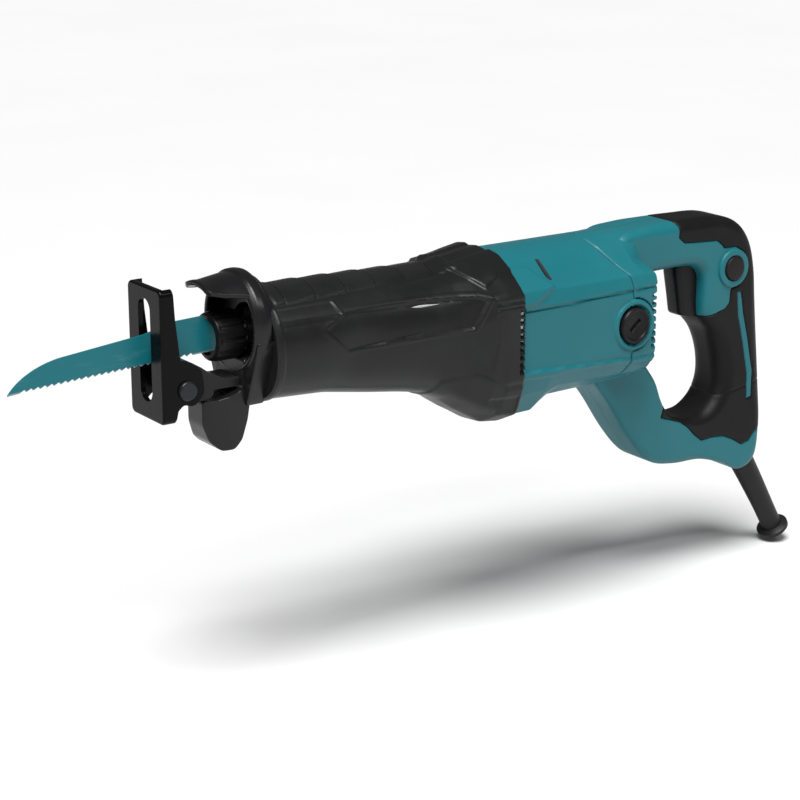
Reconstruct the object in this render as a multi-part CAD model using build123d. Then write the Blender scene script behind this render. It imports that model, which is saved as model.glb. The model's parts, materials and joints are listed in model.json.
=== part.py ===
from build123d import *
import math
import os

# A corded reciprocating saw, in millimetres. +X runs from the shoe back to the handle and +Z is up.
# The origin is where the blade's line of travel meets the back face of the shoe's slotted plate.

# Driving dimensions: motion and lines
STROKE = 28.0
STROKE_FORWARD = 8.0
MOTOR_Z = -25.0
CRANK_X = 196.0
RUNNING = 0.05
LOOSE = 0.3
REACH = 700.0

# Shoe and its bar
SHOE_HALF_WIDTH = 19.0
SHOE_TOP = 35.5
SHOE_BOTTOM = -41.5
SHOE_PLATE = 3.0
SHOE_EAR_REAR = 23.5
SHOE_PIN = (12.3, -23.0)
SHOE_PIN_RADIUS = 3.0
SLOT_WIDTH = 13.5
SLOT_TOP = 28.5
SLOT_BOTTOM = -31.0
BAR_HALF_WIDTH = 11.0
BAR_TOP = -23.5
BLADE_GROOVE = 3.6
BLADE_GROOVE_FLOOR = -13.2
BAR_BOTTOM = -28.0
BAR_REAR_X = 128.0
BAR_SLOT = (86.0, 124.0)
CLAMP_SCREW_X = 90.0
CLAMP_SCREW_RADIUS = 3.0
CLAMP_HEAD_RADIUS = 5.5
CLAMP_HEAD_TOP = -33.2

# Blade, clamp and plunger
BLADE_THICK = 1.3
TANG_FRONT_X = 38.5
TANG_REAR_X = 56.0
TANG_HALF = 6.2
LOCK_PIN_X = 49.0
LOCK_PIN_RADIUS = 2.0
CORE_RADIUS = 8.0
CORE_REAR_X = 60.0
COLLAR_FRONT_X = 36.0
COLLAR_REAR_X = 57.0
COLLAR_RADIUS = 14.5
PLUNGER_RADIUS = 7.5
YOKE_HALF_LENGTH = 13.0
YOKE_HALF_WIDTH = 23.0
YOKE_BOTTOM = -6.5
YOKE_TOP = 7.5
CRANK_PIN_RADIUS = 5.0
BUSH_SPANS = [(82.0, 104.0), (140.0, 158.0)]
BUSH_RADIUS = 11.0

# Crank gear and pinion, whose cones meet where the motor's line crosses the crank's
GEAR_TEETH = 41
PINION_TEETH = 9
MODULE = 1.5
FACE_WIDTH = 8.0
ADDENDUM = 0.7
DEDENDUM = 1.2
GEAR_RADIUS = GEAR_TEETH * MODULE / 2
PINION_RADIUS = PINION_TEETH * MODULE / 2
PINION_BORE = 3.2
WEB_TOP = -12.5
CRANK_SHAFT_RADIUS = 5.0
CRANK_BEARING_RADIUS = 13.0
CRANK_BEARINGS = [(-36.0, -28.0), (-54.0, -46.0)]

# Motor
SHAFT_RADIUS = 5.0
TAIL_RADIUS = 4.0
FRONT_BEARING = (228.4, 235.4)
REAR_BEARING = (326.0, 333.0)
BEARING_RADIUS = 11.0
FAN = (243.0, 254.0)
FAN_RADIUS = 34.0
CORE = (264.0, 300.0)
ARMATURE_RADIUS = 21.0
FIELD_RADIUS = 38.0
COMMUTATOR = (308.0, 322.0)
COMMUTATOR_RADIUS = 12.0
BRUSH_X = 316.5
BRUSH_CAP_RADIUS = 11.4
BRUSH_BOSS_RADIUS = 16.5

# Body shells: half outlines at each place along X as (y, z) from the top middle to the bottom middle
COVER_WALL = 3.0
CASTING_WALL = 3.2
SHELL = 2.6
COVER_FRONT_X = 62.0
COVER_END_X = 228.0
COVER_INNER_START_X = 66.0
PLATE_REAR_X = 232.0
CORNER_SCREWS = [(36.0, -46.0), (30.0, 10.0)]
SEAM_X = 314.0
CAP_END_X = 338.0
BARREL = [(0, 25.5), (13, 23.5), (24, 17.5), (32, 7), (34.5, -9), (32.5, -23), (23, -35), (0, -41)]
BARREL_REAR = [(0, 25), (14, 22.5), (25, 17), (33.5, 8), (36.5, -10), (34.5, -29), (25, -43), (0, -50)]
SHOULDER = [(0, 25), (16, 22), (28, 17), (38, 8), (40, -10), (39, -36), (30, -52), (0, -58.5)]
BULGE = [(0, 29), (18, 25), (34, 18.5), (46, 8), (47.5, -8), (47, -46), (36, -63), (0, -73)]
COVER_END = [(0, 30), (21, 27.5), (37, 18), (47, 8), (48, -5), (48, -50), (38, -69.5), (0, -80)]
COVER_STATIONS = [(62, BARREL), (150, BARREL_REAR), (184, SHOULDER), (206, BULGE), (228, COVER_END)]
MOTOR_FRONT = [
    (0, 27), (14, 25.5), (25, 22.5), (37, 13.5), (44, 7), (46, -3), (46, -44), (39, -59), (22, -73), (0, -76),
]
MOTOR_REAR = [
    (0, 27), (14, 25.5), (25, 22.5), (37, 13.5), (44, 7), (46, -3), (46, -44), (38, -56), (22, -66.5), (0, -68),
]
CAP_END = [
    (0, 27.5), (13, 26), (23, 20), (34, 12), (42, 6), (44, -4), (44, -43), (36, -54), (20, -64), (0, -65),
]
MOTOR_STATIONS = [(228, MOTOR_FRONT), (254, MOTOR_FRONT), (270, MOTOR_REAR), (314, MOTOR_REAR)]
CAP_STATIONS = [(314, MOTOR_REAR), (338, CAP_END)]

# D-shaped handle: its side outlines as (x, z, corner radius)
HANDLE_HALF_WIDTH = 17.0
HANDLE_EDGE = 5.0
GRIP_SKIN = 2.0
HANDLE_WALL = 4.5
HANDLE_OUTER = [
    (320, 27.5, 0), (418, 28, 60), (450, 21.5, 24), (464, -120, 30), (462, -152, 14), (440, -153, 14),
    (421, -142, 20), (368, -139, 45), (296, -68.2, 0), (320, -68.2, 0),
]
HANDLE_OPENING = [
    (341, -3, 5), (341, -52, 12), (359, -68, 12), (367, -93, 14), (384, -107, 14), (408, -108, 12),
    (421, -90, 14), (418, -60, 16), (402, -40, 6), (402, -3, 4),
]
GRIP_PATCH = [
    (366, 45), (376, 28), (376, 16), (384, 13.5), (411, 12), (418, 6), (428, 6), (436, 1), (438, -5),
    (436, -15), (431, -21), (425, -22), (425, -31), (420, -35), (396, -39), (390, -60), (373, -103),
    (389, -110), (404, -123), (422, -124), (441, -133), (475, -126), (490, -100), (490, 45),
]
HANDLE_SCREWS = [(356, 14), (436, 10), (446, -64), (428, -127), (372, -122), (332, -80)]
TRIGGER_HALF_WIDTH = 8.0
TRIGGER_POCKET = (396.0, 423.0)
TRIGGER = [(384, -4.5, 3), (396, -4.5, 0), (414, -4.5, 0), (414, -38.5, 0), (391, -38.5, 4)]
BUTTON = (426.0, -8.0)
BUTTON_RADIUS = 8.0
BUTTON_BOSS_RADIUS = 13.0

# Cord guard: the middle line of its route as (x, z)
GUARD_ROUTE = [(447.5, -135), (474, -175), (493.5, -208)]
GUARD_RADIUS = 7.8
GUARD_BORE = 4.25
GUARD_LIP_RADIUS = 10.5

os.makedirs("parts", exist_ok=True)


def across(x):
    """A plane across the saw at x, drawn on in (y, z)."""
    return Plane(origin=(x, 0, 0), x_dir=(0, 1, 0), z_dir=(1, 0, 0))


def side(y=0.0):
    """A plane along the saw at y, drawn on in (x, z) and facing -Y."""
    return Plane(origin=(0, y, 0), x_dir=(1, 0, 0), z_dir=(0, -1, 0))


def ring_face(half, inset):
    """The full outline of a half section, drawn in by inset."""
    other = [(-y, z) for y, z in reversed(half) if y > 0]
    face = make_face(Polyline(*half, *other, close=True))
    return offset(face, amount=-inset, kind=Kind.INTERSECTION) if inset else face


def loft_body(stations, inset=0.0, start=None, end=None):
    """A faceted solid through the half sections, then cut to run from start to end."""
    body = loft([across(x) * ring_face(half, inset) for x, half in stations], ruled=True)
    first = stations[0][0] if start is None else start
    last = stations[-1][0] if end is None else end
    return body & block(first, last, -REACH, REACH, -REACH, REACH)


def outline(points):
    """A closed face in (x, z) whose corners are rounded by each point's third value."""
    face = make_face(Polyline(*[(p[0], p[1]) for p in points], close=True))
    for x, z, radius in points:
        if radius:
            corner = min(face.vertices(), key=lambda v: (v.X - x) ** 2 + (v.Y - z) ** 2)
            face = fillet(corner, radius)
    return face


def prism(face, half_width):
    return extrude(side() * face, half_width, both=True)


def rod(x0, x1, radius, y=0.0, z=0.0):
    return Pos((x0 + x1) / 2, y, z) * Rot(0, 90, 0) * Cylinder(radius, x1 - x0)


def tube(x0, x1, radius, bore, y=0.0, z=0.0):
    return rod(x0, x1, radius, y, z) - rod(x0 - 1, x1 + 1, bore, y, z)


def pin_y(x, z, radius, y0, y1):
    return Pos(x, (y0 + y1) / 2, z) * Rot(90, 0, 0) * Cylinder(radius, y1 - y0)


def post(x, y, radius, z0, z1):
    return Pos(x, y, (z0 + z1) / 2) * Cylinder(radius, z1 - z0)


def block(x0, x1, y0, y1, z0, z1):
    return Pos((x0 + x1) / 2, (y0 + y1) / 2, (z0 + z1) / 2) * Box(x1 - x0, y1 - y0, z1 - z0)


def half(solid, sign):
    """The half of a solid on the -Y side (sign -1) or the +Y side (sign 1)."""
    y0, y1 = sorted((0, sign * REACH))
    return solid & block(-REACH, REACH, y0, y1, -REACH, REACH)


def keep(name, *solids):
    """Writes one node: a single solid, or a group of separate ones."""
    shape = solids[0] if len(solids) == 1 else Compound(children=list(solids))
    export_step(shape, f"parts/{name}.step")


# Shoe


def make_shoe_plate():
    """A steel plate with its sides bent back, a slot for the blade and an ear each side for the pin."""
    middle = (SHOE_TOP + SHOE_BOTTOM) / 2
    deep = 2 * SHOE_EAR_REAR
    envelope = Pos(deep / 2 - SHOE_PLATE, 0, middle) * Box(deep, 2 * SHOE_HALF_WIDTH, SHOE_TOP - SHOE_BOTTOM)
    envelope = fillet(envelope.edges().filter_by(Axis.X), 4.0)
    envelope = fillet(envelope.faces().sort_by(Axis.X)[0].edges(), 1.5)
    side = outline([
        (-4, SHOE_TOP + 1, 0), (5, SHOE_TOP + 1, 0), (6, 18, 0), (8.5, -5.5, 2), (15, -7, 4), (22, -13, 6),
        (SHOE_EAR_REAR, -26, 7), (17, -33, 5), (10, -31, 3), (6.5, -34, 2), (4.5, SHOE_BOTTOM - 1, 0),
        (-4, SHOE_BOTTOM - 1, 0)])
    inner_half = SHOE_HALF_WIDTH - SHOE_PLATE
    hollow = block(0, SHOE_EAR_REAR + 1, -inner_half, inner_half, SHOE_BOTTOM - 1, SHOE_TOP + 1)
    slot = across(-SHOE_PLATE - 1) * Pos(0, (SLOT_TOP + SLOT_BOTTOM) / 2) * SlotOverall(
        SLOT_TOP - SLOT_BOTTOM, SLOT_WIDTH, rotation=90)
    shoe = (envelope & prism(side, SHOE_HALF_WIDTH + 1)) - hollow - extrude(slot, 2 * SHOE_PLATE)
    return shoe - pin_y(*SHOE_PIN, SHOE_PIN_RADIUS, -30, 30)


def make_shoe_pin():
    """The rivet that the shoe tilts with, with a round head each side."""
    head_radius, head_high = 5.6, 2.4
    pin = pin_y(*SHOE_PIN, SHOE_PIN_RADIUS, -SHOE_HALF_WIDTH, SHOE_HALF_WIDTH)
    for sign in (-1, 1):
        y0, y1 = sorted((sign * SHOE_HALF_WIDTH, sign * (SHOE_HALF_WIDTH + head_high)))
        head = pin_y(*SHOE_PIN, head_radius, y0, y1)
        pin += fillet(head.faces().sort_by(Axis.Y)[0 if sign < 0 else -1].edges(), 1.2)
    return pin


def make_shoe_bar():
    """The bar that carries the shoe: a deep grooved knuckle on the pin and a flat slotted tail."""
    knuckle = outline([
        (9, -28, 3), (10.5, -9.8, 3), (19.5, -9.6, 3), (26, -13.6, 4), (32, -18.2, 5), (42, BAR_TOP, 8),
        (56, BAR_TOP, 0), (56, BAR_BOTTOM, 0), (34, BAR_BOTTOM, 0), (33, -32, 3), (26, -33.2, 4), (16, -33, 4)])
    bar = prism(knuckle, BAR_HALF_WIDTH)
    bar += block(50, BAR_REAR_X, -BAR_HALF_WIDTH, BAR_HALF_WIDTH, BAR_BOTTOM, BAR_TOP)
    bar -= block(0, 33, -BLADE_GROOVE / 2, BLADE_GROOVE / 2, BLADE_GROOVE_FLOOR, 0)
    for i in range(5):
        x = 66 + 9 * i
        bar -= block(x, x + 3, -BAR_HALF_WIDTH - 1, -BAR_HALF_WIDTH + 2.5, BAR_BOTTOM - 1, BAR_TOP + 1)
    reach = CLAMP_SCREW_RADIUS + LOOSE
    bar -= block(*BAR_SLOT, -reach, reach, BAR_BOTTOM - 1, BAR_TOP + 1)
    return bar - pin_y(*SHOE_PIN, SHOE_PIN_RADIUS + RUNNING, -30, 30)


def make_clamp_screw():
    """The bolt from below that nips the shoe bar in its guide."""
    head_bottom = CLAMP_HEAD_TOP - CLAMP_HEAD_RADIUS
    shank = post(CLAMP_SCREW_X, 0, CLAMP_SCREW_RADIUS, CLAMP_HEAD_TOP, -16)
    head = post(CLAMP_SCREW_X, 0, CLAMP_HEAD_RADIUS, head_bottom, CLAMP_HEAD_TOP)
    socket = Pos(CLAMP_SCREW_X, 0, head_bottom) * extrude(RegularPolygon(2.9, 6), 3.5)
    return shank + head - socket


# Blade, clamp and plunger


def make_blade():
    """A tapered wood blade: a straight toothed edge, a back that falls to the point, and a tang."""
    pitch, deep = 4.2, 1.5
    rear, front = Vector(27, -8.8), Vector(-80, -13.6)
    teeth = round((rear - front).length / pitch)
    edge = []
    for i in range(teeth):
        start = rear + (front - rear) * (i / teeth)
        edge += [(start.X, start.Y), (start.X - 1.1, start.Y + deep)]
    back = Spline((-87, -14.2), (-73, -3.2), (-54, 2.3), tangents=[(0.75, 1), (1, 0.12)])
    profile = Polyline(
        (-54, 2.3), (-4, 7.5), (16, 12.2), (34.5, 12.9), (35.2, 9.6), (TANG_FRONT_X, 9.6),
        (TANG_FRONT_X, TANG_HALF), (TANG_REAR_X, TANG_HALF),
        (TANG_REAR_X, -TANG_HALF), (TANG_FRONT_X, -TANG_HALF), (TANG_FRONT_X, -8.3), *edge,
        (-80, -13.6), (-87, -14.2))
    blade = prism(make_face([back, profile]), BLADE_THICK / 2)
    return blade - pin_y(LOCK_PIN_X, 0, LOCK_PIN_RADIUS, -5, 5)


def make_plunger():
    """The reciprocating rod: slotted clamp core in front, ground rod, and a cross yoke over the crank."""
    yoke_x = CRANK_X - (STROKE / 2 - STROKE_FORWARD)
    front, rear = yoke_x - YOKE_HALF_LENGTH, yoke_x + YOKE_HALF_LENGTH
    core = rod(TANG_FRONT_X, CORE_REAR_X, CORE_RADIUS)
    core -= block(TANG_FRONT_X - 1, TANG_REAR_X, -BLADE_THICK / 2, BLADE_THICK / 2, -TANG_HALF, TANG_HALF)
    core -= pin_y(LOCK_PIN_X, 0, LOCK_PIN_RADIUS, -9, 9)
    shaft = rod(CORE_REAR_X, front + 3, PLUNGER_RADIUS)
    yoke = block(front, rear, -YOKE_HALF_WIDTH, YOKE_HALF_WIDTH, YOKE_BOTTOM, YOKE_TOP)
    yoke = fillet(yoke.edges().filter_by(Axis.Z), 4)
    reach = CRANK_PIN_RADIUS + RUNNING
    track = block(yoke_x - reach, yoke_x + reach, -YOKE_HALF_WIDTH + 3, YOKE_HALF_WIDTH - 3, YOKE_BOTTOM - 1, 2)
    return core + shaft + yoke - track


def make_lock_pin():
    """The cross pin that sits in the hole of the blade's tang."""
    return pin_y(LOCK_PIN_X, 0, LOCK_PIN_RADIUS, -7.6, 7.6)


def make_retaining_ring():
    """The snap ring that keeps the collar on the clamp core."""
    return tube(COLLAR_REAR_X + 0.2, COLLAR_REAR_X + 1.6, CORE_RADIUS + 1.8, CORE_RADIUS)


def make_collar():
    """The turning sleeve of the blade clamp, fluted for the fingers and open in front for the blade."""
    collar = rod(COLLAR_FRONT_X, COLLAR_REAR_X, COLLAR_RADIUS)
    collar = chamfer(collar.edges().filter_by(GeomType.CIRCLE), 1.2)
    collar -= rod(COLLAR_FRONT_X - 1, COLLAR_REAR_X + 1, CORE_RADIUS + RUNNING)
    collar -= rod(COLLAR_FRONT_X - 1, TANG_FRONT_X + 0.5, 10.4)
    flute = block(COLLAR_FRONT_X + 5, COLLAR_REAR_X + 1, -1.3, 1.3, COLLAR_RADIUS - 0.9, COLLAR_RADIUS + 2)
    for i in range(12):
        collar -= Rot(30 * i, 0, 0) * flute
    return collar


# Gear train


def gear_tooth():
    """One tooth below the web, drawn in towards the point where the two cones meet."""
    pitch = math.pi * MODULE
    faces = []
    for radius in (GEAR_RADIUS, GEAR_RADIUS - FACE_WIDTH):
        scale = radius / GEAR_RADIUS
        tip = MOTOR_Z + (PINION_RADIUS - ADDENDUM * MODULE) * scale
        root = MOTOR_Z + (PINION_RADIUS + DEDENDUM * MODULE) * scale
        wide, narrow = 0.27 * pitch * scale, 0.10 * pitch * scale
        corners = [(-wide, root + 0.6), (wide, root + 0.6), (narrow, tip), (-narrow, tip)]
        faces.append(across(radius) * make_face(Polyline(*corners, close=True)))
    return loft(faces, ruled=True)


def make_crank_gear():
    """A bevel gear with its teeth below its web and a bore for its shaft."""
    inner = GEAR_RADIUS - FACE_WIDTH - 1.5
    outer = GEAR_RADIUS + 0.8
    rise = PINION_RADIUS + DEDENDUM * MODULE
    low, high = MOTOR_Z + rise * inner / GEAR_RADIUS, MOTOR_Z + rise * outer / GEAR_RADIUS
    section = Polyline((0, low), (inner, low), (outer, high), (outer, WEB_TOP), (0, WEB_TOP), close=True)
    web = revolve(Plane.XZ * make_face(section), Axis.Z)
    tooth = gear_tooth()
    step = 360 / GEAR_TEETH
    gear = web + [Rot(0, 0, step * (i + 0.5)) * tooth for i in range(GEAR_TEETH)]
    return Pos(CRANK_X, 0, 0) * gear - post(CRANK_X, 0, CRANK_SHAFT_RADIUS, -60, 0)


def make_crank_shaft():
    """The upright shaft under the gear, with its head flush with the web."""
    return post(CRANK_X, 0, CRANK_SHAFT_RADIUS, CRANK_BEARINGS[1][0] + 0.5, WEB_TOP)


def make_crank_pin():
    """The eccentric pin on the web, which ends just under the plunger."""
    back = STROKE / 2 - STROKE_FORWARD
    out = math.sqrt((STROKE / 2) ** 2 - back ** 2)
    return post(CRANK_X - back, out, CRANK_PIN_RADIUS, WEB_TOP, -PLUNGER_RADIUS - 0.5)


def make_crank_bearings():
    return [
        post(CRANK_X, 0, CRANK_BEARING_RADIUS, z0, z1) - post(CRANK_X, 0, CRANK_SHAFT_RADIUS + RUNNING, z0 - 1, z1 + 1)
        for z0, z1 in CRANK_BEARINGS
    ]


def pinion_face(scale):
    """The pinion's toothed outline at this share of its large end."""
    points = []
    for i in range(PINION_TEETH):
        for turn, height in ((-14.0, -DEDENDUM), (-4.5, ADDENDUM), (4.5, ADDENDUM), (14.0, -DEDENDUM)):
            angle = math.radians(360 / PINION_TEETH * i + turn)
            reach = (PINION_RADIUS + height * MODULE) * scale
            points.append((reach * math.sin(angle), reach * math.cos(angle)))
    return Pos(0, MOTOR_Z) * make_face(Polyline(*points, close=True))


def make_pinion():
    """A straight bevel pinion on the front end of the motor shaft."""
    rear = CRANK_X + GEAR_RADIUS
    front = rear - FACE_WIDTH
    small = (GEAR_RADIUS - FACE_WIDTH) / GEAR_RADIUS
    teeth = loft([across(front) * pinion_face(small), across(rear) * pinion_face(1.0)], ruled=True)
    return teeth - rod(front - 1, rear + 1, PINION_BORE, z=MOTOR_Z)


# Motor


def make_armature_shaft():
    """The stepped motor shaft, thin through the pinion and at the rear bearing."""
    front = CRANK_X + GEAR_RADIUS - FACE_WIDTH
    step = CRANK_X + GEAR_RADIUS + 0.3
    shaft = rod(front, step, PINION_BORE, z=MOTOR_Z)
    shaft += rod(step, COMMUTATOR[1] + 1, SHAFT_RADIUS, z=MOTOR_Z)
    return shaft + rod(COMMUTATOR[1] + 1, REAR_BEARING[1] - 0.3, TAIL_RADIUS, z=MOTOR_Z)


def make_armature_core():
    """The laminated core with a slot for each winding."""
    core = tube(*CORE, ARMATURE_RADIUS, SHAFT_RADIUS, z=MOTOR_Z)
    slot = block(CORE[0] - 1, CORE[1] + 1, -1.0, 1.0, ARMATURE_RADIUS - 6, ARMATURE_RADIUS + 1)
    slots = 12
    return core - [Pos(0, 0, MOTOR_Z) * Rot(360 / slots * i, 0, 0) * slot for i in range(slots)]


def make_commutator():
    return tube(*COMMUTATOR, COMMUTATOR_RADIUS, SHAFT_RADIUS, z=MOTOR_Z)


def make_fan():
    """The cooling fan: a back plate, a hub and straight blades."""
    fan = tube(FAN[0], FAN[0] + 1.6, FAN_RADIUS, SHAFT_RADIUS, z=MOTOR_Z)
    fan += tube(FAN[0], FAN[1], SHAFT_RADIUS + 5, SHAFT_RADIUS, z=MOTOR_Z)
    vane = block(FAN[0] + 1, FAN[1], -0.7, 0.7, SHAFT_RADIUS + 4.5, FAN_RADIUS)
    vanes = 15
    return fan + [Pos(0, 0, MOTOR_Z) * Rot(360 / vanes * i, 0, 0) * vane for i in range(vanes)]


def make_field_core():
    return tube(CORE[0] - 2, CORE[1] + 2, FIELD_RADIUS, ARMATURE_RADIUS + 0.6, z=MOTOR_Z)


def make_field_coils():
    """The wound ends that stand out of the field core, front and rear."""
    spans = [(CORE[0] - 6, CORE[0] - 2), (CORE[1] + 2, CORE[1] + 6)]
    return [tube(x0, x1, FIELD_RADIUS - 4, ARMATURE_RADIUS + 3, z=MOTOR_Z) for x0, x1 in spans]


def make_bearings():
    """The motor shaft's front and rear bearings."""
    front = tube(*FRONT_BEARING, BEARING_RADIUS, SHAFT_RADIUS + RUNNING, z=MOTOR_Z)
    return [front, tube(*REAR_BEARING, BEARING_RADIUS, TAIL_RADIUS + RUNNING, z=MOTOR_Z)]


def brush_axis(radius, y0, y1, sign):
    low, high = sorted((sign * y0, sign * y1))
    return pin_y(BRUSH_X, MOTOR_Z, radius, low, high)


def make_brushes():
    """Two carbon blocks that bear on the commutator, with a hair of clearance."""
    low = COMMUTATOR_RADIUS + 0.4
    spans = [sorted((sign * low, sign * 26)) for sign in (-1, 1)]
    return [block(BRUSH_X - 4, BRUSH_X + 4, *span, MOTOR_Z - 2.5, MOTOR_Z + 2.5) for span in spans]


def make_brush_holders():
    """A brass tube each side that guides its brush out to the cap."""
    holders = []
    for s in (-1, 1):
        guide = block(BRUSH_X - 4, BRUSH_X + 4, *sorted((s * 13, s * 41)), MOTOR_Z - 2.5, MOTOR_Z + 2.5)
        holders.append(brush_axis(7.0, 15, 40, s) - guide)
    return holders


def make_brush_cap(sign):
    """A round cap with a coin slot, screwed in over the brush."""
    cap = brush_axis(BRUSH_CAP_RADIUS, 41, 46.6, sign)
    slot = block(BRUSH_X - 7, BRUSH_X + 7, *sorted((sign * 45, sign * 48)), MOTOR_Z - 1.1, MOTOR_Z + 1.1)
    return cap - slot


# Body


def corner_screw_places():
    return [(sign * y, z) for sign in (-1, 1) for y, z in CORNER_SCREWS]


def make_front_cover():
    """The faceted rubber cover over the gear housing, open at both ends."""
    return loft_body(COVER_STATIONS) - loft_body(COVER_STATIONS, COVER_WALL)


def make_gear_housing():
    """The cast gear housing inside the cover: two bush walls, a bar guide and the crank's bearing well."""
    solid = loft_body(COVER_STATIONS, COVER_WALL, COVER_INNER_START_X, COVER_END_X)
    hollow = loft_body(COVER_STATIONS, COVER_WALL + CASTING_WALL)
    well_top = CRANK_BEARINGS[0][1]
    inside = post(CRANK_X, 0, CRANK_BEARING_RADIUS + 3, -90, well_top)
    for x0, x1 in BUSH_SPANS:
        inside += block(x0, x1, -REACH, REACH, -REACH, REACH)
    for y, z in corner_screw_places():
        inside += rod(COVER_END_X - 18, COVER_END_X, 6.0, y, z)
    housing = (solid - hollow) + (inside & solid)
    housing -= post(CRANK_X, 0, CRANK_BEARING_RADIUS, CRANK_BEARINGS[1][0], well_top + 1)
    housing -= rod(BUSH_SPANS[0][0] - 1, BUSH_SPANS[1][1] + 1, BUSH_RADIUS)
    for y, z in corner_screw_places():
        housing -= rod(COVER_END_X - 14, COVER_END_X + 1, 2.2, y, z)
    reach = BAR_HALF_WIDTH + 0.15
    housing -= block(COVER_FRONT_X, 132, -reach, reach, BAR_BOTTOM - 0.15, BAR_TOP + 0.15)
    housing -= post(CLAMP_SCREW_X, 0, CLAMP_SCREW_RADIUS, -60, -16)
    return housing - post(CLAMP_SCREW_X, 0, CLAMP_HEAD_RADIUS, -60, CLAMP_HEAD_TOP)


def make_bushings():
    """The two plain bearings that the plunger runs in."""
    return [tube(x0, x1, BUSH_RADIUS, PLUNGER_RADIUS + RUNNING) for x0, x1 in BUSH_SPANS]


def make_nose_guard():
    """The ring round the blade clamp, with a hood above it and a wedge-shaped lobe under the shoe bar."""
    centre_z, ring_radius, ring_bore, hood_radius = 6.0, 31.0, 25.5, 26.5
    ring = tube(COVER_FRONT_X - 11, COVER_FRONT_X + 4, ring_radius, ring_bore, z=centre_z)
    ring = chamfer(ring.faces().sort_by(Axis.X)[0].outer_wire().edges(), 2.2)
    hood_edge = outline([(29, 27.5, 0), (29, 40, 0), (60, 40, 0), (60, 22, 0), (52, 24, 0), (40, 26, 0)])
    hood = tube(29, COVER_FRONT_X - 6, hood_radius, hood_radius - 3, z=centre_z) & prism(hood_edge, 30)
    lobe = prism(outline([
        (27.5, -34.5, 2), (27.5, -49, 10), (31, -59, 6), (37, -64.5, 5), (45, -65, 6), (50, -60, 6), (54, -48, 10),
        (57, -30, 0), (62, -12, 0), (52, -12, 0), (50, -30, 3), (36, -34.5, 2)]), 14.5)
    plan = Polyline((27, -8.5), (42, -14.5), (64, -14.5), (64, 14.5), (42, 14.5), (27, 8.5), close=True)
    lobe &= Pos(0, 0, -80) * extrude(make_face(plan), 80)
    guard = ring + lobe - rod(0, 90, ring_bore, z=centre_z) + hood
    guard -= block(0, 90, -BAR_HALF_WIDTH - 0.5, BAR_HALF_WIDTH + 0.5, BAR_BOTTOM - 0.5, BAR_TOP + 0.5)
    return guard - loft_body(COVER_STATIONS)


def make_bearing_plate():
    """The plate between gears and motor, with a boss for the front motor bearing."""
    plate = loft_body(MOTOR_STATIONS, SHELL, COVER_END_X, PLATE_REAR_X)
    plate += rod(COVER_END_X, FRONT_BEARING[1] + 0.6, BEARING_RADIUS + 3, z=MOTOR_Z)
    plate -= rod(FRONT_BEARING[0], FRONT_BEARING[1] + 1, BEARING_RADIUS, z=MOTOR_Z)
    plate -= rod(COVER_END_X - 1, FRONT_BEARING[0], SHAFT_RADIUS + 1.5, z=MOTOR_Z)
    for y, z in corner_screw_places():
        plate -= rod(COVER_END_X - 1, PLATE_REAR_X + 1, 2.2, y, z)
    return plate


def make_plate_screws():
    """Four screws that hold the plate to the gear housing."""
    screws = []
    for y, z in corner_screw_places():
        shank = rod(COVER_END_X - 14, PLATE_REAR_X, 2.2, y, z)
        screws.append(shank + rod(PLATE_REAR_X, PLATE_REAR_X + 3, 4.0, y, z))
    return screws


def make_motor_housing():
    """The motor's faceted tube with its vents, ribs on the field core and a round boss for each brush."""
    housing = loft_body(MOTOR_STATIONS) - loft_body(MOTOR_STATIONS, SHELL)
    for sign in (-1, 1):
        housing += brush_axis(BRUSH_BOSS_RADIUS, 40, 47.0, sign)
        housing += block(CORE[0], CORE[1], *sorted((sign * 37, sign * 44)), MOTOR_Z - 5, MOTOR_Z + 5)
    housing += block(CORE[0] + 8, CORE[1], -6, 6, MOTOR_Z - FIELD_RADIUS - 3.5, MOTOR_Z - FIELD_RADIUS + 1)
    housing += block(CORE[0], CORE[1], -6, 6, MOTOR_Z + FIELD_RADIUS - 1, 25)
    housing -= rod(CORE[0] - 3, CORE[1] + 3, FIELD_RADIUS, z=MOTOR_Z)
    for sign in (-1, 1):
        housing -= brush_axis(BRUSH_CAP_RADIUS, 41, 50, sign)
        housing -= brush_axis(7.0, 15, 45, sign)
        for i in range(9):
            z = -6 - 4.2 * i
            housing -= block(233.5, 237.5, *sorted((sign * 40, sign * 50)), z - 1.3, z + 1.3)
    return housing


def make_fan_baffle():
    """The ring that closes the motor tube round the fan."""
    baffle = loft_body(MOTOR_STATIONS, SHELL, FAN[1] + 1, FAN[1] + 3)
    return baffle - rod(FAN[1], FAN[1] + 4, FAN_RADIUS - 6, z=MOTOR_Z)


def handle_ring(inset):
    """The D-shaped handle drawn in by inset on every side, its long edges chamfered."""
    outer = outline(HANDLE_OUTER)
    opening = outline(HANDLE_OPENING)
    if inset:
        outer = offset(outer, amount=-inset)
        opening = offset(opening, amount=inset)
    edge = HANDLE_EDGE if inset < HANDLE_EDGE else 1.5
    body = prism(outer, HANDLE_HALF_WIDTH - inset)
    body = chamfer(body.faces().filter_by(Axis.Y).edges(), edge)
    hole = prism(opening, HANDLE_HALF_WIDTH + 2)
    return body - hole


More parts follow.
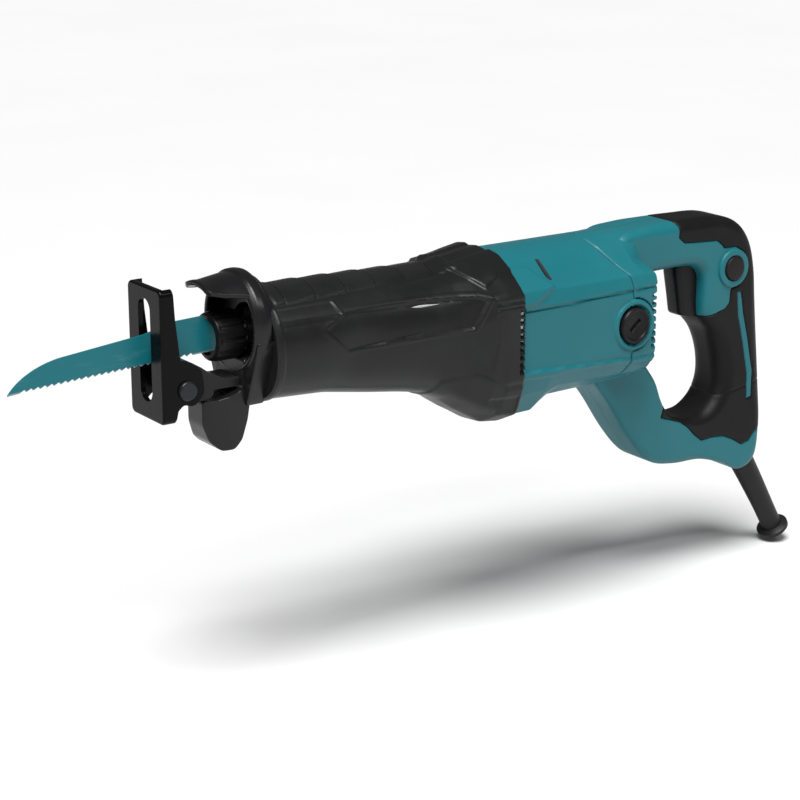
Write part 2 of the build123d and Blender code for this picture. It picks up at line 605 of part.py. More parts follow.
def make_handle():
    """Both handle halves as one solid, with the grip's rubber skin apart."""
    ring = handle_ring(0)
    patch = prism(make_face(Polyline(*GRIP_PATCH, close=True)), HANDLE_HALF_WIDTH + 4)
    boss = pin_y(*BUTTON, BUTTON_BOSS_RADIUS, -HANDLE_HALF_WIDTH - 1.5, 0)
    skin = (ring - handle_ring(GRIP_SKIN)) & patch
    reach = TRIGGER_HALF_WIDTH + LOOSE
    pocket = block(*TRIGGER_POCKET, -reach, reach, -39.0, -3.2)
    skin -= boss + pocket + block(*TRIGGER_POCKET, -HANDLE_HALF_WIDTH, HANDLE_HALF_WIDTH, -41, -36)
    cap = loft_body(CAP_STATIONS)
    body = cap + ring + boss
    body -= loft_body(CAP_STATIONS, SHELL, SEAM_X - 1, CAP_END_X - 3)
    body -= handle_ring(HANDLE_WALL)
    body -= skin
    wall_x = CAP_END_X - 4.5
    body += block(wall_x, CAP_END_X - 1, -34, 34, -52, 8)
    body += rod(REAR_BEARING[0], wall_x + 1, BEARING_RADIUS + 3, z=MOTOR_Z)
    body -= rod(REAR_BEARING[0] - 1, REAR_BEARING[1], BEARING_RADIUS, z=MOTOR_Z)
    for x, z in HANDLE_SCREWS:
        body += pin_y(x, z, 5.0, -HANDLE_HALF_WIDTH + 3, HANDLE_HALF_WIDTH - 3)
        body -= screw_solid(x, z)
    body -= pocket
    body -= pin_y(*BUTTON, BUTTON_RADIUS + RUNNING, -30, -10)
    for i in range(9):
        z = -8 - 5 * i
        body -= block(CAP_END_X - 4, CAP_END_X + 1, -40, -20, z - 1.2, z + 1.2)
        body -= block(CAP_END_X - 4, CAP_END_X + 1, 20, 40, z - 1.2, z + 1.2)
    for sign in (-1, 1):
        body -= brush_axis(BRUSH_BOSS_RADIUS + 0.1, 12, 60, sign)
    body -= guard_solid(0)
    return body, skin


def screw_solid(x, z):
    """One handle screw along Y, its head sunk in the right half."""
    return pin_y(x, z, 1.9, -10, 12) + pin_y(x, z, 3.6, 12, 14.5)


def guard_path():
    """The cord guard's middle line: two straight runs joined by a tangent arc."""
    points = [(x, 0, z) for x, z in GUARD_ROUTE]
    return FilletPolyline(*points, radius=120)


def guard_solid(bore):
    """The cord guard's tube with its flange inside the handle; a bore of 0 leaves it solid."""
    path = guard_path()
    section = Plane(origin=path @ 0, z_dir=path % 0)
    body = sweep(section * Circle(GUARD_RADIUS), path)
    body += extrude(section * Circle(GUARD_LIP_RADIUS), 3.0)
    if bore:
        end = Plane(origin=path @ 1, z_dir=path % 1)
        body += extrude(end * Circle(GUARD_LIP_RADIUS), -3.0)
        body -= sweep(section * Circle(bore), path)
    return body


def make_trigger():
    """The trigger: a rounded paddle in front and a block that runs in the handle behind it."""
    paddle = prism(outline(TRIGGER), TRIGGER_HALF_WIDTH)
    front = [e for e in paddle.edges() if e.center().X < 396 and abs(abs(e.center().Y) - TRIGGER_HALF_WIDTH) < 0.01]
    front = [e for e in front if abs(e.tangent_at(0.5).Z) > 0.8]
    return fillet(front, 2.5)


def make_switch():
    """The switch module behind the trigger, with its terminals below."""
    body = block(422, 446, -9.5, 9.5, -40, -14)
    for y in (-5, 5):
        body += block(430, 434, y - 1.5, y + 1.5, -46, -39)
    return body


def make_button():
    """The round lock-on button, domed, on the left side."""
    button = pin_y(*BUTTON, BUTTON_RADIUS, -HANDLE_HALF_WIDTH - 3.2, -HANDLE_HALF_WIDTH + 4.2)
    return fillet(button.faces().sort_by(Axis.Y)[0].edges(), 1.2)


def make_cord_clamp():
    """The small bar across the cord's way inside the handle, and its two screws."""
    bar = block(446, 452, -9, 9, -117, -112)
    screws = [post(449, s * 6.5, 1.5, -124, -112) + post(449, s * 6.5, 2.8, -112, -110) for s in (-1, 1)]
    for screw in screws:
        bar -= screw
    return bar, screws


def main():
    keep("shoe_plate", make_shoe_plate())
    keep("shoe_pivot_pin", make_shoe_pin())
    keep("shoe_bar", make_shoe_bar())
    keep("shoe_clamp_screw", make_clamp_screw())
    keep("saw_blade", make_blade())
    keep("plunger_rod", make_plunger())
    keep("blade_lock_pin", make_lock_pin())
    keep("collar_retaining_ring", make_retaining_ring())
    keep("blade_clamp_collar", make_collar())
    keep("crank_gear", make_crank_gear())
    keep("crank_shaft", make_crank_shaft())
    keep("crank_pin", make_crank_pin())
    keep("crank_bearings", *make_crank_bearings())
    keep("motor_pinion", make_pinion())
    keep("armature_shaft", make_armature_shaft())
    keep("armature_core", make_armature_core())
    keep("commutator", make_commutator())
    keep("cooling_fan", make_fan())
    keep("motor_bearings", *make_bearings())
    keep("field_core", make_field_core())
    keep("field_coils", *make_field_coils())
    keep("carbon_brushes", *make_brushes())
    keep("brush_holders", *make_brush_holders())
    keep("brush_cap_left", make_brush_cap(-1))
    keep("brush_cap_right", make_brush_cap(1))
    keep("nose_guard", make_nose_guard())
    keep("front_cover", make_front_cover())
    keep("gear_housing", make_gear_housing())
    keep("plunger_bushings", *make_bushings())
    keep("bearing_plate", make_bearing_plate())
    keep("plate_screws", *make_plate_screws())
    keep("motor_housing", make_motor_housing())
    keep("fan_baffle", make_fan_baffle())
    handle, skin = make_handle()
    keep("handle_left", half(handle, -1))
    keep("handle_right", half(handle, 1))
    keep("grip_overmold", skin)
    keep("handle_screws", *[screw_solid(x, z) for x, z in HANDLE_SCREWS])
    keep("trigger", make_trigger())
    keep("switch_module", make_switch())
    keep("lock_button", make_button())
    keep("cord_guard", guard_solid(GUARD_BORE))
    clamp, clamp_screws = make_cord_clamp()
    keep("cord_clamp", clamp)
    keep("cord_clamp_screws", *clamp_screws)


main()
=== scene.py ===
import json
from math import pi, radians, sin, cos
import bmesh
import bpy
import numpy as np
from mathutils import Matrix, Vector


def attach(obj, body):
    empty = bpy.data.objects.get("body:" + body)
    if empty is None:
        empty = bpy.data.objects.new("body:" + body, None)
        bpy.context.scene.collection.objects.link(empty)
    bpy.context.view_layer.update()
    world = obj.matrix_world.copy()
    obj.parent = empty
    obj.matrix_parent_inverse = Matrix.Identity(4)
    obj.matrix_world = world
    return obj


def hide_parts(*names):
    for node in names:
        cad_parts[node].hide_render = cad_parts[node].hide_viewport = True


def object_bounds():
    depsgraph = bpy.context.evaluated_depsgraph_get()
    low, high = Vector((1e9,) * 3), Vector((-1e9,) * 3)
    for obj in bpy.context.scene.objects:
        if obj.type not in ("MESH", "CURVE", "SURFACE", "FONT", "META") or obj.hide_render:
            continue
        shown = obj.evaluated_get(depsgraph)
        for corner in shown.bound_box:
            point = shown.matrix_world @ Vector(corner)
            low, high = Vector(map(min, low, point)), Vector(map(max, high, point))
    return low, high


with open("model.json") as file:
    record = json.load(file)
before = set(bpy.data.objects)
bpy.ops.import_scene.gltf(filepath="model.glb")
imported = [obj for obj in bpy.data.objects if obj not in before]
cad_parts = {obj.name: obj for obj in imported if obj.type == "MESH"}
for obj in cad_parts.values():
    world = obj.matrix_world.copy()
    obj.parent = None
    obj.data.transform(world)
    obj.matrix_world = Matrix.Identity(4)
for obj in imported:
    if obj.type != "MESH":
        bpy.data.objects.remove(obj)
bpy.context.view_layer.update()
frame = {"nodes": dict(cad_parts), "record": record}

mm = 0.001             # shapes below are worked out in millimetres and stored in metres


camera = {
    "lens": 96.37, "sensor": 36.0, "distance": 1.300,
    "azimuth": -35.02, "elevation": 16.46, "target": (0.1697, 0.0, -0.0596),
}


def placeCamera():
    turn, lift = radians(camera["azimuth"]), radians(camera["elevation"])
    away = np.array([sin(turn) * cos(lift), -cos(turn) * cos(lift), sin(lift)])
    spot = np.array(camera["target"]) + away * camera["distance"]
    data = bpy.data.cameras.new("studio_camera")
    data.lens, data.sensor_width = camera["lens"], camera["sensor"]
    shot = bpy.data.objects.new("studio_camera", data)
    bpy.context.scene.collection.objects.link(shot)
    shot.location = spot
    shot.rotation_euler = (pi / 2 - lift, 0, turn)
    bpy.context.scene.camera = shot


placeCamera()
print("camera placed")


class Socket:
    # A socket that adds, subtracts, multiplies and divides by adding Math nodes.
    def __init__(self, shop, link):
        self.shop, self.link = shop, link

    def maths(self, kind, a, b=0.0):
        return self.shop.node("ShaderNodeMath", {"operation": kind}, {0: a, 1: b})

    def __add__(self, other): return self.maths("ADD", self, other)
    def __radd__(self, other): return self.maths("ADD", other, self)
    def __sub__(self, other): return self.maths("SUBTRACT", self, other)
    def __rsub__(self, other): return self.maths("SUBTRACT", other, self)
    def __mul__(self, other): return self.maths("MULTIPLY", self, other)
    def __rmul__(self, other): return self.maths("MULTIPLY", other, self)
    def __truediv__(self, other): return self.maths("DIVIDE", self, other)
    def __rtruediv__(self, other): return self.maths("DIVIDE", other, self)
    def __pow__(self, other): return self.maths("POWER", self, other)

    def clipped(self):
        return self.shop.node("ShaderNodeClamp", {}, {"Value": self})


class Shop:
    # One material being made: its nodes, and the Principled shader they end in.
    def __init__(self, name):
        self.material = bpy.data.materials.new(name)
        self.material.use_nodes = True
        self.tree = self.material.node_tree
        self.shader = self.tree.nodes["Principled BSDF"]

    def node(self, kind, settings, inputs, output=0):
        made = self.tree.nodes.new(kind)
        for key, value in settings.items():
            if key == "stops":
                ramp = made.color_ramp
                while len(ramp.elements) < len(value):
                    ramp.elements.new(0.5)
                for stop, (place, colour) in zip(ramp.elements, value):
                    stop.position, stop.color = place, (*colour, 1.0)
            else:
                setattr(made, key, value)
        for key, value in inputs.items():
            self.feed(made.inputs[key], value)
        return Socket(self, made.outputs[output])

    def feed(self, target, value):
        if isinstance(value, Socket):
            self.tree.links.new(value.link, target)
        elif isinstance(value, (tuple, list)) and len(value) == 3 and len(target.default_value) == 4:
            target.default_value = (*value, 1.0)
        else:
            target.default_value = value

    def place(self):
        return self.node("ShaderNodeTexCoord", {}, {}, "Object")

    def noise(self, scale, detail=3.0, rough=0.55, stretch=(1, 1, 1)):
        spot = self.node("ShaderNodeMapping", {}, {"Vector": self.place(), "Scale": stretch})
        return self.node("ShaderNodeTexNoise", {},
            {"Vector": spot, "Scale": scale, "Detail": detail, "Roughness": rough})

    def ramp(self, value, low, high):
        # 0 below low, 1 above high, straight between.
        return ((value - low) / (high - low)).clipped()

    def blend(self, amount, first, second):
        return self.node("ShaderNodeMix", {"data_type": "RGBA"}, {0: amount, 6: first, 7: second}, 2)

    def bump(self, height, strength, distance, under=None):
        inputs = {"Height": height, "Strength": strength, "Distance": distance}
        if under is not None:
            inputs["Normal"] = under
        return self.node("ShaderNodeBump", {}, inputs)

    def finish(self, **sockets):
        for name, value in sockets.items():
            self.feed(self.shader.inputs[name.replace("_", " ")], value)
        return self.material


def mouldedPlastic(name, colour, shade, rough, grain, shine=0.5):
    # A moulded surface: fine spark texture, soft colour drift and a little handling wear.
    shop = Shop(name)
    drift = shop.noise(9.0, 2.0)
    fine = shop.noise(1900.0, 2.0)
    smudge = shop.ramp(shop.noise(38.0, 5.0, 0.65), 0.42, 0.68)
    colourOut = shop.blend(shop.ramp(drift, 0.35, 0.7), colour, shade)
    normal = shop.bump(fine, grain, 0.0003)
    shop.shader.inputs["Specular IOR Level"].default_value = shine
    return shop.finish(Base_Color=colourOut, Roughness=rough + 0.09 * smudge + 0.05 * fine - 0.03,
        Normal=normal)


def rubberSkin(name, colour, shade, rough, grain, shine=0.3):
    # Moulded rubber: a leathery fine grain and dusty lighter patches.
    shop = Shop(name)
    fine = shop.noise(1300.0, 3.0, 0.6)
    dust = shop.ramp(shop.noise(24.0, 6.0, 0.7), 0.45, 0.75)
    colourOut = shop.blend(dust * 0.6, colour, shade)
    normal = shop.bump(fine, grain, 0.0004)
    shop.shader.inputs["Specular IOR Level"].default_value = shine
    return shop.finish(Base_Color=colourOut, Roughness=rough + 0.1 * dust + 0.06 * fine - 0.03, Normal=normal)


def paintedSteel(name, colour, chip, rough, shine):
    # Gloss paint with orange peel, small dings and faint scuffs.
    shop = Shop(name)
    peel = shop.noise(420.0, 2.0)
    scuff = shop.ramp(shop.noise(70.0, 8.0, 0.75, (1, 1, 7)), 0.55, 0.8)
    colourOut = shop.blend(scuff * 0.25, colour, chip)
    normal = shop.bump(peel, 0.16, 0.0004)
    shop.shader.inputs["Specular IOR Level"].default_value = shine
    return shop.finish(Base_Color=colourOut, Roughness=rough + 0.22 * scuff, Normal=normal)


def groundSteel(name, colour, rough, along=(1, 40, 40), metal=1.0):
    # Bright steel with grinding lines across it and a few dark stains.
    shop = Shop(name)
    lines = shop.noise(60.0, 4.0, 0.7, along)
    stain = shop.ramp(shop.noise(30.0, 5.0), 0.5, 0.8)
    dark = tuple(0.55 * c for c in colour)
    colourOut = shop.blend(stain * 0.5, colour, dark)
    normal = shop.bump(lines, 0.25, 0.0003)
    shop.shader.inputs["Metallic"].default_value = metal
    return shop.finish(Base_Color=colourOut, Roughness=rough + 0.18 * lines + 0.1 * stain, Normal=normal)


def barSteel():
    # painted light: faces turned up are painted bright bare steel as a painted highlight, and the sides near
    # black as painted shade, picked by the surface normal with a little scratch noise
    shop = Shop("bar_steel")
    up = shop.node("ShaderNodeSeparateXYZ", {},
        {"Vector": shop.node("ShaderNodeTexCoord", {}, {}, "Normal")}, "Z")
    scratch = shop.noise(60.0, 4.0, 0.7, (1, 30, 1))
    # painted highlight mask: 1 on faces turned up (lit bright steel, also made metallic), 0 on the sides
    # (painted shade)
    painted_lit_top = shop.ramp(up + 0.3 * (scratch - 0.5), 0.62, 0.78)
    colourOut = shop.blend(painted_lit_top, (0.010, 0.010, 0.011), (0.42, 0.42, 0.41))
    shop.shader.inputs["Specular IOR Level"].default_value = 0.2
    return shop.finish(Base_Color=colourOut, Roughness=0.28 + 0.15 * scratch, Metallic=painted_lit_top,
                       Normal=shop.bump(scratch, 0.2, 0.0003))


finishes = {
    "housing_teal": mouldedPlastic("satin_teal", (0.006, 0.118, 0.142), (0.009, 0.132, 0.156), 0.36, 0.22,
        0.30),
    "cover_rubber": rubberSkin("cover_rubber", (0.007, 0.0072, 0.0075), (0.014, 0.0145, 0.015), 0.34, 0.20,
        0.26),
    "nose_black": mouldedPlastic("nose_black", (0.005, 0.005, 0.0055), (0.009, 0.009, 0.010), 0.26, 0.16,
        0.28),
    "grip_rubber": rubberSkin("grip_rubber", (0.006, 0.0055, 0.0055), (0.012, 0.011, 0.011), 0.44, 0.5, 0.14),
    "cord_rubber": rubberSkin("cord_rubber", (0.008, 0.008, 0.008), (0.015, 0.015, 0.016), 0.40, 0.3, 0.22),
    "shoe_black": paintedSteel("shoe_black", (0.002, 0.002, 0.002), (0.012, 0.012, 0.013), 0.24, 0.10),
    "bar_steel": barSteel(),
    "pin_steel": paintedSteel("pin_steel", (0.008, 0.009, 0.012), (0.04, 0.04, 0.045), 0.3, 0.3),
    "clamp_black": paintedSteel("clamp_black", (0.004, 0.004, 0.0045), (0.02, 0.02, 0.02), 0.35, 0.15),
    "rod_steel": groundSteel("rod_steel", (0.6, 0.6, 0.6), 0.25),
    "gear_steel": groundSteel("gear_steel", (0.42, 0.42, 0.41), 0.3),
    "bearing_steel": groundSteel("bearing_steel", (0.7, 0.7, 0.72), 0.18),
    "bush_bronze": groundSteel("bush_bronze", (0.6, 0.38, 0.18), 0.4),
    "brass_parts": groundSteel("brass_parts", (0.75, 0.55, 0.25), 0.3),
    "copper_parts": groundSteel("copper_parts", (0.75, 0.38, 0.22), 0.35),
    "core_iron": groundSteel("core_iron", (0.24, 0.24, 0.25), 0.5, (200, 1, 1)),
    "casting_alloy": groundSteel("casting_alloy", (0.5, 0.51, 0.52), 0.5, (5, 5, 5)),
    "plate_alloy": groundSteel("plate_alloy", (0.6, 0.6, 0.61), 0.35),
    "inner_plastic": mouldedPlastic("inner_plastic", (0.02, 0.02, 0.022), (0.03, 0.03, 0.032), 0.45, 0.3,
        0.35),
    "carbon": mouldedPlastic("carbon", (0.02, 0.02, 0.02), (0.04, 0.04, 0.04), 0.6, 0.4, 0.3),
    "cap_black": mouldedPlastic("cap_black", (0.004, 0.004, 0.0045), (0.008, 0.008, 0.009), 0.34, 0.2, 0.15),
    "trigger_black": mouldedPlastic("trigger_black", (0.004, 0.004, 0.0045), (0.008, 0.008, 0.009), 0.26,
        0.15, 0.16),
    "button_black": mouldedPlastic("button_black", (0.010, 0.008, 0.008), (0.014, 0.012, 0.012), 0.42, 0.3,
        0.15),
    "screw_steel": groundSteel("screw_steel", (0.5, 0.5, 0.52), 0.3),
}


def bladePaint():
    # Teal paint along the blade, with bare ground steel on the tooth tips and scuffs along its length.
    shop = Shop("blade_paint")
    spot = shop.node("ShaderNodeSeparateXYZ", {}, {"Vector": shop.place()}, "Z")
    run = shop.node("ShaderNodeSeparateXYZ", {}, {"Vector": shop.place()}, "X")
    edge = spot - (run * 0.0449 - 0.01001)          # height above the line of the tooth tips, in metres
    scuff = shop.ramp(shop.noise(22.0, 8.0, 0.7, (1, 1, 9)), 0.56, 0.78)
    bare = (1 - shop.ramp(edge, 0.0003, 0.0011)) * 0.55
    worn = (bare + scuff * 0.14).clipped()
    colourOut = shop.blend(worn, (0.003, 0.125, 0.150), (0.40, 0.42, 0.43))
    normal = shop.bump(shop.noise(500.0, 2.0), 0.12, 0.0003)
    shop.shader.inputs["Specular IOR Level"].default_value = 0.3
    return shop.finish(Base_Color=colourOut, Roughness=0.36 + 0.12 * scuff, Metallic=bare, Normal=normal)


finishes["blade_paint"] = bladePaint()
print("finishes mixed:", len(finishes))


def smooth(value, low, high):
    # 0 below low, 1 above high, an S curve between.
    t = np.clip((value - low) / (high - low), 0, 1)
    return t * t * (3 - 2 * t)


def band(value, low, high, soft):
    # 1 between low and high, falling to 0 over soft outside them.
    return smooth(value, low - soft, low) * (1 - smooth(value, high, high + soft))


def gridMesh(name, slot, points, aroundFirst=False, aroundSecond=False):
    # A surface through a grid of points in millimetres, closed round either way, with outward faces.
    rows, columns = points.shape[:2]
    index = np.arange(rows * columns).reshape(rows, columns)
    if aroundFirst:
        index = np.vstack([index, index[:1]])
    if aroundSecond:
        index = np.hstack([index, index[:, :1]])
    faces = np.stack([index[:-1, :-1], index[1:, :-1], index[1:, 1:], index[:-1, 1:]], -1).reshape(-1, 4)
    return solidMesh(name, slot, points.reshape(-1, 3), faces)


def solidMesh(name, slot, spots, faces):
    # Puts spots and faces in one mesh, merges doubles, drops empty faces and turns it right side out.
    mesh = bpy.data.meshes.new(name)
    mesh.from_pydata((spots * mm).tolist(), [], faces.tolist())
    work = bmesh.new()
    work.from_mesh(mesh)
    bmesh.ops.remove_doubles(work, verts=work.verts, dist=2e-6)
    bmesh.ops.dissolve_degenerate(work, edges=work.edges, dist=1e-7)
    bmesh.ops.recalc_face_normals(work, faces=work.faces)
    work.to_mesh(mesh)
    work.free()
    mesh.polygons.foreach_set("use_smooth", np.ones(len(mesh.polygons), bool))
    mesh.set_sharp_from_angle(angle=radians(38))
    mesh.materials.append(finishes[slot])
    piece = bpy.data.objects.new(name, mesh)
    bpy.context.scene.collection.objects.link(piece)
    return piece


def joined(name, slot, pieces):
    # Several closed shapes as one piece.
    spots, faces, count = [], [], 0
    for piece in pieces:
        mesh = piece.data
        co = np.empty(len(mesh.vertices) * 3)
        mesh.vertices.foreach_get("co", co)
        spots.append(co.reshape(-1, 3) / mm)
        faces += [[v + count for v in p.vertices] for p in mesh.polygons]
        count += len(mesh.vertices)
        bpy.data.objects.remove(piece)
    mesh = bpy.data.meshes.new(name)
    mesh.from_pydata((np.vstack(spots) * mm).tolist(), [], faces)
    mesh.polygons.foreach_set("use_smooth", np.ones(len(mesh.polygons), bool))
    mesh.set_sharp_from_angle(angle=radians(38))
    mesh.materials.append(finishes[slot])
    whole = bpy.data.objects.new(name, mesh)
    bpy.context.scene.collection.objects.link(whole)
    return whole


def blur(values, reach, axis, around=False):
    # A short Gaussian blur along one axis of a grid, wrapped round or held at the ends.
    span = int(3 * reach) + 1
    kernel = np.exp(-0.5 * (np.arange(-span, span + 1) / reach) ** 2)
    kernel /= kernel.sum()
    pad = [(0, 0)] * values.ndim
    pad[axis] = (span, span)
    wide = np.pad(values, pad, mode="wrap" if around else "edge")
    size = values.shape[axis]
    pick = [slice(None)] * values.ndim
    total = 0
    for k, weight in enumerate(kernel):
        pick[axis] = slice(k, k + size)
        total = total + weight * wide[tuple(pick)]
    return total


def sectionRadius(stations, x, theta, centreZ):
    # How far each ray at angle theta from +Z reaches to the half outline at x, where the outlines of two
    # stations are drawn into each other along a straight line.
    places = np.array([s[0] for s in stations], float)
    outlines = np.array([s[1] for s in stations], float)
    count = outlines.shape[1]
    across = np.stack([np.interp(x, places, outlines[:, k, 0]) for k in range(count)], -1)
    height = np.stack([np.interp(x, places, outlines[:, k, 1]) for k in range(count)], -1) - centreZ
    turn = np.abs(theta)
    sideways, upward = np.sin(turn), np.cos(turn)
    reach = np.full(theta.shape, 1e9)
    for k in range(count - 1):
        y0, z0 = across[..., k], height[..., k]
        y1, z1 = across[..., k + 1], height[..., k + 1]
        start, end = np.arctan2(y0, z0), np.arctan2(y1, z1)
        inside = (turn >= start - 1e-9) & (turn <= end + 1e-9)
        edgeY, edgeZ = y1 - y0, z1 - z0
        below = sideways * edgeZ - upward * edgeY
        below = np.where(np.abs(below) < 1e-9, 1e-9, below)
        hit = (y0 * edgeZ - z0 * edgeY) / below
        reach = np.where(inside, np.minimum(reach, np.abs(hit)), reach)
    return reach


def ringPoints(x, radius, theta, centreZ):
    # Points round the saw's long axis: -Y at a quarter turn, +Z at none.
    return np.stack([x, -radius * np.sin(theta), centreZ + radius * np.cos(theta)], -1)


def polygonDistance(px, pz, corners):
    # Distance to a closed polygon, positive inside it.
    best = np.full(px.shape, 1e9)
    inside = np.zeros(px.shape, bool)
    ring = list(zip(corners, corners[1:] + corners[:1]))
    for (ax, az), (bx, bz) in ring:
        ex, ez = bx - ax, bz - az
        t = np.clip(((px - ax) * ex + (pz - az) * ez) / (ex * ex + ez * ez), 0, 1)
        best = np.minimum(best, np.hypot(px - ax - t * ex, pz - az - t * ez))
        crosses = ((az > pz) != (bz > pz)) & (px < ax + (pz - az) * ex / (ez if abs(ez) > 1e-9 else 1e-9))
        inside ^= crosses
    return np.where(inside, best, -best)


def lathe(name, slot, profile, centre, axis="x", turns=96):
    # A profile of (along, radius) turned round an axis through centre; a radius of 0 closes it.
    along = np.array([p[0] for p in profile], float)[:, None]
    radius = np.array([p[1] for p in profile], float)[:, None]
    angle = np.linspace(0, 2 * pi, turns, endpoint=False)[None, :]
    a, b = radius * np.cos(angle), radius * np.sin(angle)
    along = along + 0 * angle
    order = {"x": (along, a, b), "y": (a, along, b), "z": (a, b, along)}[axis]
    points = np.stack(order, -1) + np.array(centre, float)
    closed = profile[0][1] > 0 and profile[-1][1] > 0
    return gridMesh(name, slot, points, aroundFirst=closed, aroundSecond=True)


def roundedProfile(points, radius, steps=5):
    # A profile whose corners are cut by short arcs, for a lathe.
    out = [points[0]]
    for before, here, after in zip(points, points[1:], points[2:]):
        here = np.array(here, float)
        a, b = np.array(before, float) - here, np.array(after, float) - here
        cut = min(radius, 0.45 * np.hypot(*a), 0.45 * np.hypot(*b))
        a, b = here + a / np.hypot(*a) * cut, here + b / np.hypot(*b) * cut
        for t in np.linspace(0, 1, steps):
            out.append(tuple((1 - t) ** 2 * a + 2 * t * (1 - t) * here + t * t * b))
    return out + [points[-1]]


cover = {
    "from": 62.3, "to": 228.0, "wall": 3.0, "barRoom": 20.5, "collarRoom": 16.5, "centreZ": -12.0,
    "rows": 290, "around": 296,
    "ribStart": 75.0, "ribPitch": 21.3, "ribHigh": 1.0, "ribSlant": 0.16,
    "panel": [(96, 2), (112, 9.5), (198, 9.0), (203, 7.5), (193, -9), (139, -10.5), (110, -12)],
    "panelDeep": 1.5, "label": [(66, 8.5), (66, 19), (104, 18.5), (109, 8.5)],
    # raised fields at the rear, as (x, z)
    "wedge": [(191, 23), (204, 12.5), (216, 17.5), (240, 20), (240, 60), (207, 60), (206, 33)],
    "collar": [(208, -3), (240, -3), (240, -46), (214, -46), (204, -38), (208, -20)],
    "belly": [(176, -41), (194, -37), (204, -41), (214, -49), (240, -49), (240, -120), (160, -120)],
    "lowerPad": [(205, -55), (226, -55), (226, -66), (213, -66)],
    "ventPitch": 4.5, "ventTop": -4.0,
    "stations": [
        (62, [(0, 25), (11, 23.8), (21, 19.5), (31.5, 8), (34.5, -8),
              (33, -21), (25.5, -32.5), (12, -39), (0, -40)]),
        (105, [(0, 24.5), (12, 22.8), (22, 18.3), (32, 8), (35, -8),
              (33.5, -22.5), (26, -34.5), (13, -41), (0, -42)]),
        (135, [(0, 24), (13, 22), (23, 17.3), (32.5, 8), (36, -9),
              (34.5, -24), (27, -38.5), (14, -46), (0, -47.2)]),
        (160, [(0, 23.5), (13, 21), (25, 16.7), (34, 8), (37, -9),
              (36, -28), (29, -42), (15, -49.5), (0, -51)]),
        (174, [(0, 23.5), (14, 20.5), (27, 16.2), (36.5, 8), (39, -9),
              (37.5, -31), (30, -46), (15, -52), (0, -53.5)]),
        (186, [(0, 23.5), (14, 20.2), (28, 16.2), (39, 8), (41.5, -9),
              (41, -35), (33, -50.5), (15, -57), (0, -58.5)]),
        (198, [(0, 26), (16, 22.4), (31, 17.4), (43.5, 8.5), (45.5, -6),
              (45, -40), (36, -57), (16, -65.5), (0, -67)]),
        (206, [(0, 27), (18, 23.0), (33, 17.5), (46, 8.5), (47.5, -5),
              (47, -44), (38, -61.5), (17, -70), (0, -71.5)]),
        (216, [(0, 28.4), (20, 24.4), (36, 17.5), (47.5, 8), (48.2, -4),
              (48, -46), (40, -66), (19, -76), (0, -77.5)]),
        (228, [(0, 29.5), (20, 26.6), (36, 17.5), (47, 8), (48.2, -4),
              (48, -46), (41, -67.5), (21, -77), (0, -78.5)]),
    ],
}


def ventRow(z, onSide):
    # 1 inside a row of even square slots down each side, 0 between them
    turns = (z - cover["ventTop"]) / cover["ventPitch"]
    away = np.abs(turns - np.round(turns)) * cover["ventPitch"]
    return (1 - smooth(away, 1.05, 1.45)) * band(z, -42.0, -2.0, 0.1) * onSide


